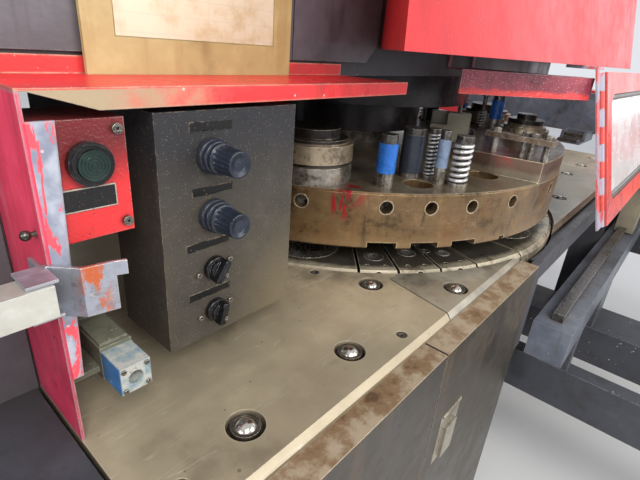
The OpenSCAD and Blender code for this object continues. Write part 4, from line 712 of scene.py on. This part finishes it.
def rail_marks(w, place, colour, dirt_and_shade):
    """The beams under the rail, darker to nearly black lower down."""
    return w.over(colour, (0.022, 0.021, 0.024), w.parts(place)[2], 0.66, 0.5, 0.75), dirt_and_shade


def post_marks(w, place, colour, dirt_and_shade):
    """Hinge leaves rubbed to blue grey steel in places."""
    return w.over(colour, (0.3, 0.29, 0.36), w.streaks(place, (22.0, 22.0, 9.0), 5.0, 0.65), 0.46, 0.52), dirt_and_shade


def band_marks(w, place, colour, dirt_and_shade):
    """Fine turned lines and dark oil runs on the large tools; drum and cap are told apart by height."""
    z = w.parts(place)[2]
    lines = w.noise(w.joined(0.0, 0.0, w.times(z, 1600.0)), 1.0, 1.0)
    colour = w.over(colour, (0.7, 0.6, 0.45), lines, 0.52, 0.7, 0.35)
    drum = w.times(w.band(z, TURRET_TOP + 0.066, TURRET_TOP + 0.0635),
                   w.band(z, TURRET_TOP + 0.032, TURRET_TOP + 0.034))
    cloud = w.noise(place, 30.0, 5.0, 0.6)
    oily = w.blend(w.band(cloud, 0.4, 0.7), (0.022, 0.019, 0.017), (0.085, 0.07, 0.058))
    return w.blend(drum, oily, colour), dirt_and_shade


MATERIALS = {}


def make_materials(look):
    """Makes every finish of the machine from the panel's colours."""
    red = tuple(look.red_paint)
    dark = tuple(look.dark_paint)
    table = tuple(look.table_steel)
    turret = tuple(look.turret_steel)

    m = MATERIALS
    m["red"] = paint(
        "red_sheet_paint", by(red, 1.1), red, by(red, 0.72), (0.5, 0.42, 0.38), (0.1, 0.02, 0.018),
        width=0.0025, specks=0.03, runs=0.25, corner=0.55)
    m["hood"] = paint(
        "hood_paint", by(red, 0.84), by(red, 0.76), by(red, 0.66), (0.45, 0.22, 0.2), (0.3, 0.02, 0.022),
        gloss=0.34, wear=0.2, specks=0.01, runs=0.15, corner=0.2, shine=0.28)
    m["side"] = paint(
        "side_guard_paint", (0.74, 0.05, 0.11), (0.64, 0.032, 0.078), (0.4, 0.02, 0.05), (0.58, 0.55, 0.58),
        (0.1, 0.018, 0.03), wear=0.55, width=0.004, specks=0.1, speck_colour=(0.62, 0.36, 0.42), runs=0.35,
        extra=side_marks)
    m["roof"] = paint(
        "roof_paint", by(red, 1.2), by(red, 1.05), by(red, 0.75), (0.62, 0.5, 0.36), (0.15, 0.03, 0.02),
        gloss=0.28, wear=0.55, width=0.0035, specks=0.04, runs=0.2, corner=0.4, extra=roof_marks)
    m["jog"] = paint(
        "hammered_red_paint", by(red, 1.15), by(red, 0.95), by(red, 0.6), (0.45, 0.32, 0.28),
        (0.07, 0.015, 0.012), gloss=0.2, wear=0.4, width=0.002, peel=420.0, peel_depth=0.0006, specks=0.22,
        speck_colour=(0.1, 0.02, 0.015), speck_scale=420.0, runs=0.15, coat=0.12, shine=0.4, extra=jog_marks)
    m["speckled"] = paint(
        "speckled_red_paint", (0.42, 0.07, 0.1), (0.24, 0.03, 0.05), (0.1, 0.015, 0.028), (0.5, 0.42, 0.42),
        (0.07, 0.02, 0.03), wear=0.4, specks=0.7, speck_colour=(0.6, 0.42, 0.48), speck_scale=430.0,
        extra=speckle_marks)
    m["door"] = paint(
        "door_paint", (0.74, 0.105, 0.075), (0.64, 0.06, 0.048), (0.4, 0.034, 0.034), (0.6, 0.5, 0.48),
        (0.16, 0.04, 0.035), wear=0.5, width=0.0025, specks=0.03, runs=0.3)
    m["post"] = paint(
        "hinge_paint", (0.7, 0.1, 0.075), (0.58, 0.06, 0.05), (0.34, 0.034, 0.034), (0.56, 0.54, 0.6),
        (0.1, 0.05, 0.05), gloss=0.32, wear=0.8, runs=0.3, extra=post_marks)
    m["box"] = paint(
        "box_texture_paint", (0.066, 0.058, 0.046), (0.046, 0.041, 0.034), (0.028, 0.026, 0.024),
        (0.42, 0.35, 0.26), (0.075, 0.056, 0.034), gloss=0.36, wear=0.34, width=0.0016, peel=900.0,
        peel_depth=0.0004, specks=0.35, speck_colour=(0.2, 0.17, 0.12), speck_scale=520.0, runs=0.25,
        corner=0.35, shine=0.3, extra=box_marks)
    m["frame"] = paint(
        "frame_paint", by(dark, 1.1), by(dark, 0.85), by(dark, 0.6), (0.26, 0.25, 0.27), (0.03, 0.026, 0.022),
        gloss=0.38, width=0.0025, specks=0.02, shine=0.35)
    m["panel"] = paint(
        "panel_paint", (0.125, 0.118, 0.135), (0.095, 0.088, 0.102), (0.058, 0.053, 0.062), (0.3, 0.29, 0.3),
        (0.045, 0.04, 0.038), gloss=0.34, wear=0.35, width=0.0025, specks=0.02, runs=0.45)
    m["rail"] = paint(
        "rail_paint", (0.15, 0.165, 0.2), (0.095, 0.108, 0.14), (0.045, 0.05, 0.065), (0.42, 0.42, 0.44),
        (0.085, 0.068, 0.05), gloss=0.36, wear=0.45, speck_scale=170.0, runs=0.5, extra=rail_marks)
    m["bearing"] = paint(
        "oily_bearing_paint", (0.028, 0.022, 0.026), (0.016, 0.012, 0.014), (0.008, 0.007, 0.008),
        (0.14, 0.11, 0.1), (0.008, 0.006, 0.006), gloss=0.22, wear=0.25, specks=0.08,
        speck_colour=(0.22, 0.03, 0.04), runs=0.6, shine=0.3)
    m["table"] = steel(
        "table_steel", by(table, 1.22), table, by(table, 0.66), scale=4.0, dull=0.48, metallic=0.4,
        scratch=0.25, rust=(0.24, 0.17, 0.1), rust_share=0.25, wear=0.55, width=0.0028,
        edge_colour=(0.58, 0.5, 0.36), extra=table_marks)
    m["plate"] = steel(
        "corner_plate_steel", (0.5, 0.47, 0.39), (0.41, 0.385, 0.315), (0.27, 0.25, 0.2), scale=5.0,
        smooth=0.26, metallic=0.55, rust_share=0.2, width=0.0028, edge_colour=(0.6, 0.54, 0.41),
        extra=table_marks)
    m["wing"] = steel(
        "wing_table_steel", by(table, 0.85), by(table, 0.66), by(table, 0.42), scale=4.0, dull=0.52,
        metallic=0.5, rust_share=0.3, wear=0.55)
    m["cover"] = steel(
        "cover_steel", (0.066, 0.054, 0.038), (0.044, 0.036, 0.026), (0.026, 0.022, 0.017), scale=5.0,
        smooth=0.32, dull=0.52, metallic=0.3, scratch=0.15, scratch_colour=(0.22, 0.19, 0.14),
        rust=(0.1, 0.055, 0.03), rust_share=0.3, corner=0.5, wear=0.62, width=0.0028,
        edge_colour=(0.46, 0.38, 0.27), extra=cover_marks)
    m["latch"] = steel(
        "cover_latch_steel", (0.42, 0.38, 0.3), (0.32, 0.285, 0.22), (0.16, 0.14, 0.11), dull=0.5,
        rust_share=0.4, corner=0.6, width=0.0014)
    m["turret"] = steel(
        "turret_steel", by(turret, 1.55), turret, by(turret, 0.4), scale=9.0, smooth=0.26, dull=0.46,
        metallic=0.68, scratch=0.12, rust=(0.13, 0.065, 0.028), rust_share=0.35, corner=0.75, wear=0.8,
        width=0.0032, edge_colour=(0.7, 0.57, 0.38), extra=turret_marks, coat=0.15)
    m["rim"] = steel(
        "index_hole_edge", (0.62, 0.52, 0.38), (0.45, 0.36, 0.25), (0.22, 0.16, 0.1), scale=40.0, smooth=0.2,
        dull=0.36, metallic=0.75, scratch=0.0, rust_share=0.3, corner=0.2, wear=0.0)
    m["die"] = steel(
        "die_holder_steel", (0.52, 0.46, 0.34), (0.4, 0.35, 0.25), (0.2, 0.17, 0.12), scale=14.0, smooth=0.26,
        dull=0.44, metallic=0.5, scratch=0.35, rust_share=0.3, corner=0.9, wear=0.8, width=0.003,
        edge_colour=(0.74, 0.66, 0.48), extra=holder_marks)
    m["tool"] = steel(
        "tool_steel", (0.5, 0.47, 0.42), (0.3, 0.275, 0.24), (0.1, 0.085, 0.07), scale=25.0, smooth=0.2,
        metallic=0.85, scratch=0.2, rust_share=0.35, corner=0.8, wear=0.7, width=0.0014, reach=0.02)
    m["head"] = steel(
        "punch_head_steel", (0.2, 0.19, 0.18), (0.095, 0.088, 0.08), (0.034, 0.03, 0.027), scale=30.0,
        smooth=0.22, metallic=0.8, scratch=0.1, corner=0.6, wear=0.7, width=0.0016,
        edge_colour=(0.58, 0.52, 0.43), reach=0.02)
    m["spring"] = steel(
        "spring_wire", (0.8, 0.81, 0.82), (0.62, 0.62, 0.62), (0.3, 0.29, 0.27), scale=40.0, smooth=0.22,
        metallic=0.55, scratch=0.0, rust_share=0.25, corner=0.75, wear=0.0, grain=0.00004, reach=0.006)
    m["band"] = steel(
        "large_tool_steel", (0.56, 0.45, 0.31), (0.4, 0.32, 0.22), (0.17, 0.13, 0.09), smooth=0.24,
        scratch=0.25, rust_share=0.35, corner=0.75, edge_colour=(0.72, 0.62, 0.47), extra=band_marks,
        reach=0.02)
    m["shaft"] = steel(
        "oily_shaft_steel", (0.2, 0.19, 0.18), (0.11, 0.1, 0.095), (0.04, 0.035, 0.03), scale=12.0,
        smooth=0.22, dull=0.4, metallic=0.8, scratch=0.1, corner=0.7, wear=0.55)
    m["ball"] = steel(
        "ball_steel", (0.75, 0.73, 0.68), (0.55, 0.52, 0.46), (0.34, 0.3, 0.25), scale=30.0, smooth=0.1,
        dull=0.26, metallic=0.95, scratch=0.1, corner=0.7, wear=0.0, reach=0.006)
    m["cup"] = steel(
        "cup_steel", (0.13, 0.115, 0.095), (0.065, 0.055, 0.045), (0.02, 0.016, 0.012), scale=40.0, dull=0.5,
        scratch=0.0, corner=0.9, wear=0.75, width=0.0012, edge_colour=(0.42, 0.36, 0.27), reach=0.008)
    # Bare steel whose bluish light and middle colours are a painted reflection of cool light
    m["bare"] = steel(
        "bare_keeper_steel_painted_reflection", (0.5, 0.53, 0.62), (0.38, 0.4, 0.47), (0.22, 0.21, 0.22), smooth=0.24, dull=0.44,
        metallic=0.75, rust=(0.3, 0.16, 0.1), rust_share=0.3, wear=0.5, width=0.0016,
        edge_colour=(0.62, 0.58, 0.52), extra=keeper_marks)
    m["aluminium"] = steel(
        "aluminium", (0.66, 0.66, 0.61), (0.56, 0.55, 0.49), (0.4, 0.38, 0.33), scale=12.0, smooth=0.28,
        dull=0.45, wear=0.5, width=0.0012, edge_colour=(0.78, 0.78, 0.76))
    m["screw"] = steel(
        "screw_steel", (0.26, 0.245, 0.22), (0.14, 0.13, 0.115), (0.05, 0.043, 0.036), scale=60.0,
        smooth=0.26, dull=0.46, metallic=0.85, scratch=0.35, corner=0.8, width=0.0007, reach=0.004)
    m["bar"] = steel(
        "clamp_bar_steel", (0.27, 0.2, 0.14), (0.16, 0.11, 0.075), (0.05, 0.034, 0.024), scale=24.0, dull=0.5,
        scratch=0.35, rust_share=0.5, corner=0.7, wear=0.75, width=0.0022)
    m["block"] = paint(
        "block_paint", (0.7, 0.65, 0.5), (0.6, 0.55, 0.41), (0.38, 0.33, 0.23), (0.5, 0.45, 0.4),
        (0.1, 0.05, 0.035), gloss=0.4, wear=0.5, width=0.002, specks=0.3, speck_colour=(0.16, 0.08, 0.05),
        runs=0.5)
    m["blue"] = plastic("blue_sleeve", (0.018, 0.125, 0.46), (0.1, 0.09, 0.08), gloss=0.3,
                        edge_colour=(0.25, 0.38, 0.62))
    m["dark_sleeve"] = plastic(
        "dark_sleeve", (0.03, 0.036, 0.05), (0.07, 0.06, 0.05), wear=0.4, edge_colour=(0.25, 0.26, 0.28))
    m["pale_sleeve"] = plastic(
        "pale_sleeve", (0.15, 0.2, 0.29), (0.12, 0.1, 0.09), dusty=0.6, wear=0.4,
        edge_colour=(0.55, 0.6, 0.65))
    m["black"] = plastic(
        "black_plastic", (0.004, 0.004, 0.005), (0.06, 0.054, 0.048), gloss=0.16, dusty=0.15,
        edge_colour=(0.13, 0.13, 0.14))
    m["knob"] = plastic(
        "knob_plastic", (0.011, 0.016, 0.028), (0.1, 0.09, 0.08), gloss=0.22, dusty=0.35, wear=0.22,
        edge_colour=(0.16, 0.16, 0.17))
    m["lens"] = plastic(
        "green_lens", (0.008, 0.022, 0.018), (0.03, 0.03, 0.027), gloss=0.12, dusty=0.2, wear=0.15,
        edge_colour=(0.1, 0.17, 0.14))
    m["switch"] = paint(
        "switch_grey", (0.21, 0.215, 0.15), (0.155, 0.16, 0.112), (0.08, 0.082, 0.058), (0.45, 0.43, 0.38),
        (0.05, 0.045, 0.03), gloss=0.4, wear=0.45, width=0.0018, peel=600.0, specks=0.3,
        speck_colour=(0.3, 0.3, 0.26))
    m["switch_blue"] = paint(
        "switch_blue", (0.03, 0.24, 0.52), (0.02, 0.17, 0.42), (0.012, 0.09, 0.22), (0.5, 0.5, 0.46),
        (0.05, 0.06, 0.05), gloss=0.32, wear=0.55, width=0.0018, peel=600.0, specks=0.25,
        speck_colour=(0.4, 0.4, 0.36), runs=0.3, extra=head_marks)
    m["sleeve"] = paint(
        "chart_frame", (0.5, 0.4, 0.19), (0.41, 0.31, 0.13), (0.27, 0.19, 0.075), (0.5, 0.4, 0.3),
        (0.3, 0.18, 0.07), gloss=0.35, width=0.0015, speck_colour=(0.4, 0.3, 0.2), corner=0.3)
    m["gasket"] = plastic(
        "door_gasket", (0.1, 0.095, 0.09), (0.25, 0.2, 0.18), gloss=0.4, wear=0.2,
        edge_colour=(0.42, 0.38, 0.34))
    m["pane"] = make_pane()
    m["paper"] = make_paper()


def make_pane():
    """Clear plastic pane with a dusty film."""
    material, w, place = started("clear_pane")
    film = w.band(w.noise(place, 9.0, 5.0, 0.6), 0.35, 0.75, 0.1, 0.45)
    shaded(w, w.blend(film, (0.86, 0.87, 0.88), (0.7, 0.68, 0.68)), w.plus(film, 0.03),
           Transmission_Weight=0.45, IOR=1.49)
    return material


def make_paper():
    """Old cream paper with faint generic ruled lines and yellow damp stains."""
    material, w, place = started("chart_paper")
    x, _, z = w.parts(place)
    tone = w.use("Mottle", place, Scale=6.0, Light=(0.7, 0.64, 0.51), Middle=(0.63, 0.55, 0.4),
                 Dark=(0.5, 0.38, 0.21))["Colour"]
    rows, columns = (w.calc("ABSOLUTE", w.minus(w.calc("FRACT", w.times(at, every)), 0.5))
                     for at, every in ((z, 62.0), (x, 21.0)))
    ruled = w.most(w.band(rows, 0.06, 0.03), w.band(columns, 0.025, 0.012))
    colour = w.blend(w.times(ruled, 0.22), tone, (0.45, 0.4, 0.32))
    rounded = w.add("Bevel", {"Radius": 0.0004}, samples=2).outputs[0]
    normal = bumped(w, w.noise(place, 300.0, 3.0), 0.0001, rounded)
    shaded(w, colour, 0.55, 0.0, normal, Coat_Weight=0.35, Coat_Roughness=0.2)
    return material


# Nodes that carry each finish; any other node has the frame's
FINISHES = {
    "bare": "levelling_feet latch_keeper", "panel": "frame_covers", "hood": "turret_hood",
    "shaft": "ram upper_shaft linear_rails clamp_jaws", "turret": "upper_turret lower_turret",
    "bearing": "turret_bearings", "tool": "punch_guides bar_bolts dies", "head": "punches driven_punch",
    "blue": "blue_canisters", "dark_sleeve": "dark_canisters", "pale_sleeve": "pale_canisters",
    "band": "large_punches", "bar": "clamp_bar", "block": "index_block", "die": "die_holders",
    "table": "inner_table outer_table", "plate": "corner_plates", "cup": "ball_cups",
    "ball": "transfer_balls", "screw": "panel_screws", "cover": "side_covers", "latch": "cover_latch",
    "side": "side_guard", "roof": "guard_roof", "jog": "jog_box",
    "black": "jog_bezel high_knob low_knob high_selector low_selector", "lens": "jog_button",
    "box": "pressure_box", "sleeve": "chart_sleeve", "aluminium": "latch_arm switch_plunger",
    "switch": "switch_body", "switch_blue": "switch_head", "speckled": "far_guard", "post": "guard_post",
    "door": "guard_door", "pane": "door_window", "rail": "rail_beams cross_slide", "wing": "wing_tables",
    "red": "carriage_beam",
}


# Properties

def colour_property(name, description, default):
    """A colour for a panel."""
    return FloatVectorProperty(name=name, description=description, size=3, subtype="COLOR", min=0.0, max=1.0,
                               default=default)


def length_property(name, description, default, low, high):
    """A length in metres for a panel."""
    return FloatProperty(name=name, description=description, default=default, min=low, max=high, unit="LENGTH")


class PressLook(bpy.types.PropertyGroup):
    """Colours of the machine's finishes."""
    red_paint: colour_property("Red paint", "Colour of the hood and the guards", (0.66, 0.026, 0.03))
    dark_paint: colour_property("Frame paint", "Colour of the frame", (0.05, 0.05, 0.06))
    table_steel: colour_property("Table steel", "Middle colour of the table plates", (0.4, 0.34, 0.235))
    turret_steel: colour_property("Turret steel", "Middle colour of the turret", (0.175, 0.108, 0.05))


class PressSprings(bpy.types.PropertyGroup):
    """Sizes of the punch springs."""
    big_wire: length_property("Big wire", "Wire of the big springs", 0.0062, 0.003, 0.008)
    slim_wire: length_property("Slim wire", "Wire of the slim springs", 0.004, 0.002, 0.006)
    big_turns: IntProperty(name="Big turns", description="Turns of a big spring", default=7, min=4, max=9)
    slim_turns: IntProperty(name="Slim turns", description="Turns of a slim spring", default=11, min=6, max=14)


class PressKnobs(bpy.types.PropertyGroup):
    """Sizes of the knobs and the rest places of the selectors."""
    grip: length_property("Grip", "Diameter of a knob's ribbed grip", 0.0251, 0.02, 0.028)
    groove: length_property("Groove", "Depth of the grooves between ribs", 0.0011, 0.0004, 0.002)
    ribs: IntProperty(name="Ribs", description="Ribs round a knob", default=18, min=12, max=30)
    high_turn: FloatProperty(name="Upper selector", description="Turn of the upper lever at rest",
                             default=math.radians(-33.0), subtype="ANGLE")
    low_turn: FloatProperty(name="Lower selector", description="Turn of the lower lever at rest",
                            default=math.radians(-15.0), subtype="ANGLE")


class PressStage(bpy.types.PropertyGroup):
    """Floor and light."""
    floor: colour_property("Floor", "Colour of the floor", (0.6, 0.6, 0.6))
    sky: FloatProperty(name="Sky", description="Brightness of the light from all round", default=0.85, min=0.0,
                       max=2.0)
    lamps: FloatProperty(name="Lamps", description="Strength of the lamps", default=1.0, min=0.0, max=4.0)


# Operators

class PieceOperator:
    """What every operator of the press shares."""
    bl_options = {"REGISTER", "UNDO"}

    def execute(self, context):
        self.build(context.scene)
        return {"FINISHED"}


class PRESS_OT_camera(PieceOperator, bpy.types.Operator):
    """Puts the camera at the photograph's place"""
    bl_idname = "press.camera"
    bl_label = "Camera"

    def build(self, scene):
        lens = bpy.data.cameras.new("camera")
        lens.lens, lens.sensor_width = CAMERA_LENS, 36.0
        lens.clip_start, lens.clip_end = 0.02, 60.0
        camera = bpy.data.objects.new("camera", lens)
        scene.collection.objects.link(camera)
        rows = [(*axis_parts, at) for *axis_parts, at in zip(*CAMERA_AXES, CAMERA_PLACE)]
        camera.matrix_world = Matrix((*rows, (0.0, 0.0, 0.0, 1.0)))
        scene.camera = camera


class PRESS_OT_finishes(PieceOperator, bpy.types.Operator):
    """Makes the finishes and puts them on the frame's own pieces"""
    bl_idname = "press.finishes"
    bl_label = "Finishes"

    def build(self, scene):
        make_effects()
        make_materials(scene.press_look)
        finish_of = {name: finish for finish, names in FINISHES.items() for name in names.split()}
        for name, node in NODES.items():
            for slot in node.material_slots:
                slot.material = MATERIALS[finish_of.get(name, "frame")]


class PRESS_OT_springs(PieceOperator, bpy.types.Operator):
    """Winds the springs of the standing punches"""
    bl_idname = "press.springs"
    bl_label = "Punch springs"

    def build(self, scene):
        sizes = scene.press_springs
        shell = Shell()
        for angle in tooled():
            add_station_spring(shell, BIG_SPRING, angle, sizes.big_wire, sizes.big_turns)
            add_station_spring(shell, SLIM_SPRING, angle, sizes.slim_wire, sizes.slim_turns)
        add_station_spring(shell, PAD_SPRING, 0.0, sizes.slim_wire, PAD_TURNS)
        made = shell.piece("coil_springs", "upper_turret", MATERIALS["spring"], 80.0)
        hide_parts("punch_springs")


class PRESS_OT_driven_spring(PieceOperator, bpy.types.Operator):
    """Winds the spring that the ram presses"""
    bl_idname = "press.driven_spring"
    bl_label = "Driven spring"

    def build(self, scene):
        sizes = scene.press_springs
        shell = Shell()
        low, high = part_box("driven_spring")
        centre = ((low[0] + high[0]) / 2, (low[1] + high[1]) / 2, 0.0)
        wire = sizes.slim_wire * DRIVEN_WIRE_SHARE
        add_spring(shell, centre, low[2], high[2], SLIM_SPRING[4], wire, DRIVEN_TURNS)
        made = shell.piece("driven_coil", "upper_turret", MATERIALS["spring"], 80.0)
        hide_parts("driven_spring")
        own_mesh(made)


class PRESS_OT_knobs(PieceOperator, bpy.types.Operator):
    """Turns the ribbed regulator knobs"""
    bl_idname = "press.knobs"
    bl_label = "Regulator knobs"

    def build(self, scene):
        sizes = scene.press_knobs
        grip = sizes.grip / 2
        for name in ("high_knob", "low_knob"):
            low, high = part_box(name)
            centre = ((low[0] + high[0]) / 2, high[1] - BEHIND_PANEL, (low[2] + high[2]) / 2)
            long = centre[1] - low[1]
            base = (high[0] - low[0]) / 2
            profile = [(SHANK, -BEHIND_PANEL, 0), (SHANK, 0.0, 0), (base - 0.001, 0.0, 0), (base, 0.001, 0),
                       (base, 0.0055, 0), (base - 0.001, 0.0065, 0), (base - 0.0022, 0.0068, 0),
                       (base - 0.0022, 0.0082, 0), (base - 0.0006, 0.0086, 0), (base - 0.0006, 0.012, 0),
                       (base - 0.0014, 0.013, 0), (base - 0.0028, 0.0132, 0), (base - 0.0028, 0.0146, 0),
                       (base - 0.0016, 0.015, 0), (base - 0.0016, 0.0182, 0), (base - 0.0026, 0.019, 0),
                       (grip + 0.0006, 0.0192, 0), (grip + 0.0004, 0.0204, 0.4), (grip + 0.0003, 0.0212, 1),
                       (grip, 0.03, 1), (grip - 0.0002, long - 0.0026, 1), (grip - 0.0002, long - 0.0014, 0.4),
                       (grip - 0.0006, long - 0.0004, 0), (grip - 0.0014, long, 0), (grip - 0.0026, long, 0),
                       (grip - 0.0032, long - 0.0006, 0), (grip - 0.006, long - 0.0007, 0),
                       (grip - 0.0064, long - 0.0012, 0), (0.003, long - 0.0012, 0)]
            shell = Shell()
            shell.closed(turned(profile, centre, sizes.ribs * 10, sizes.ribs, sizes.groove / grip))
            made = shell.piece("ribbed_" + name, name, MATERIALS["knob"], 50.0)
            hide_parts(name)


class PRESS_OT_selectors(PieceOperator, bpy.types.Operator):
    """Shapes the selectors: a rounded dial, a collar and a rounded lever turned as in the frame"""
    bl_idname = "press.selectors"
    bl_label = "Selectors"

    def build(self, scene):
        sizes = scene.press_knobs
        for name, turn in (("high_selector", sizes.high_turn), ("low_selector", sizes.low_turn)):
            low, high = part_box(name)
            centre = ((low[0] + high[0]) / 2, high[1] - BEHIND_PANEL, (low[2] + high[2]) / 2)
            shell = Shell()
            dial = [(SHANK, -BEHIND_PANEL, 0), (SHANK, 0.0, 0), (DIAL - 0.0006, 0.0, 0), (DIAL, 0.0006, 0),
                    (DIAL, 0.0046, 0), (DIAL - 0.0004, 0.0056, 0), (DIAL - 0.0014, 0.0061, 0),
                    (DIAL - 0.0036, 0.0064, 0), (DIAL - 0.004, 0.0094, 0), (DIAL - 0.0048, 0.01, 0),
                    (0.002, 0.01, 0)]
            shell.closed(turned(dial, centre, 72))
            shell.closed(rounded_block(LEVER, (centre[0], centre[1] - LEVER_OUT, centre[2]), turn))
            made = shell.piece("rounded_" + name, name, MATERIALS["black"], 45.0)
            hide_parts(name)
            self.screw(name, centre, turn)

    def screw(self, name, centre, turn):
        """The pale dome of the lever's screw."""
        shell = Shell()
        dome = [(0.003, 0.009, 0), (0.003, 0.0172, 0), (0.0027, 0.0179, 0), (0.0018, 0.0183, 0),
                (0.0011, 0.0183, 0), (0.001, 0.0177, 0), (0.0004, 0.0177, 0)]
        place = (centre[0] - SCREW_UP * math.sin(turn), centre[1], centre[2] - SCREW_UP * math.cos(turn))
        shell.closed(turned(dome, place, 28))
        made = shell.piece("screw_of_" + name, name, MATERIALS["screw"], 40.0)


class PRESS_OT_hole_edges(PieceOperator, bpy.types.Operator):
    """Lays the bright narrow rings round the index holes of the upper turret"""
    bl_idname = "press.hole_edges"
    bl_label = "Index hole edges"

    def build(self, scene):
        shell = Shell()
        radius = float(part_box("upper_turret")[1][0])
        for group in range(GROUPS):
            for at in INDEX_HOLES:
                ring = rim_ring(radius, FIRST + PITCH * group + at, INDEX_HEIGHT, INDEX_RADIUS)
                shell.closed(ring, loop=True)
        made = shell.piece("index_hole_edges", "upper_turret", MATERIALS["rim"], 50.0)


class PRESS_OT_chart(PieceOperator, bpy.types.Operator):
    """Puts the old sheet of paper into the chart sleeve"""
    bl_idname = "press.chart"
    bl_label = "Chart paper"

    def build(self, scene):
        low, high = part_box("chart_sleeve")
        shell = Shell()
        shell.closed(sheet_of_paper((low[0] + PAPER_SIDES, 0.0, low[2] + PAPER_FOOT),
                                    (high[0] - PAPER_SIDES, low[1] + PAPER_BACK, high[2] - PAPER_SIDES)))
        made = shell.piece("chart_paper", "frame", MATERIALS["paper"], 30.0)


class PRESS_OT_window_seal(PieceOperator, bpy.types.Operator):
    """Runs the grey seal round the door's window"""
    bl_idname = "press.window_seal"
    bl_label = "Window seal"

    def build(self, scene):
        shell = Shell()
        shell.closed(pane_seal(), loop=True)
        made = shell.piece("window_seal", "guard_door", MATERIALS["gasket"], 60.0)


class PRESS_OT_stage(PieceOperator, bpy.types.Operator):
    """Lays a plain pale floor and sets soft studio light"""
    bl_idname = "press.stage"
    bl_label = "Stage and light"

    def build(self, scene):
        stage = scene.press_stage
        material, w, place = started("plain_floor")
        tone = w.band(w.noise(place, 1.2, 3.0), 0.3, 0.7, 0.97, 1.03)
        colour = w.blend(1.0, tuple(stage.floor), w.joined(tone, tone, tone), "MULTIPLY")
        shaded(w, colour, 0.8)
        u = np.array([-FLOOR_HALF, FLOOR_HALF])
        x, y = np.meshgrid(u, u, indexing="ij")
        mesh = bpy.data.meshes.new("floor")
        mesh.from_pydata(np.stack([x, y, 0 * x + FLOOR_Z], -1).reshape(-1, 3).tolist(), [], [[0, 2, 3, 1]])
        mesh.materials.append(material)
        floor = bpy.data.objects.new("floor", mesh)
        scene.collection.objects.link(floor)
        self.world(scene, stage.sky)
        for name, place, aim, size, power, tint in LAMPS:
            self.lamp(scene, name, place, aim, size, power * stage.lamps, tint)
        scene.view_settings.view_transform = "Standard"

    def world(self, scene, strength):
        world = bpy.data.worlds.new("studio")
        world.use_nodes = True
        ground = world.node_tree.nodes["Background"]
        ground.inputs["Color"].default_value = (0.92, 0.95, 1.0, 1.0)
        ground.inputs["Strength"].default_value = strength
        scene.world = world

    def lamp(self, scene, name, place, aim, size, power, tint):
        data = bpy.data.lights.new(name, "AREA")
        data.shape, data.size, data.energy, data.color = "SQUARE", size, power, tint
        made = bpy.data.objects.new(name, data)
        made.location = place
        made.rotation_mode = "QUATERNION"
        made.rotation_quaternion = (Vector(aim) - Vector(place)).to_track_quat("-Z", "Y")
        scene.collection.objects.link(made)


class PRESS_PT_panel(bpy.types.Panel):
    """Lists the press's pieces and their sizes"""
    bl_idname = "PRESS_PT_panel"
    bl_label = "Punch press"
    bl_space_type = "VIEW_3D"
    bl_region_type = "UI"
    bl_category = "Punch press"

    def draw(self, context):
        column = self.layout.column()
        for group in [getattr(context.scene, name) for name, _ in SETTINGS]:
            for key in group.__annotations__:
                column.prop(group, key)
        for operator in OPERATORS:
            column.operator(operator.bl_idname)


OPERATORS = (PRESS_OT_camera, PRESS_OT_finishes, PRESS_OT_springs, PRESS_OT_driven_spring, PRESS_OT_knobs,
             PRESS_OT_selectors, PRESS_OT_hole_edges, PRESS_OT_chart, PRESS_OT_window_seal, PRESS_OT_stage)
SETTINGS = (("press_look", PressLook), ("press_springs", PressSprings), ("press_knobs", PressKnobs),
            ("press_stage", PressStage))


def register():
    for name, group in SETTINGS:
        bpy.utils.register_class(group)
        setattr(bpy.types.Scene, name, PointerProperty(type=group))
    for operator in OPERATORS:
        bpy.utils.register_class(operator)
    bpy.utils.register_class(PRESS_PT_panel)


def unregister():
    bpy.utils.unregister_class(PRESS_PT_panel)
    for operator in reversed(OPERATORS):
        bpy.utils.unregister_class(operator)
    for name, group in reversed(SETTINGS):
        delattr(bpy.types.Scene, name)
        bpy.utils.unregister_class(group)


def main():
    """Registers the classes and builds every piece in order."""
    register()
    for operator in OPERATORS:
        getattr(bpy.ops.press, operator.bl_idname.split(".")[1])()


if __name__ == "__main__":
    main()
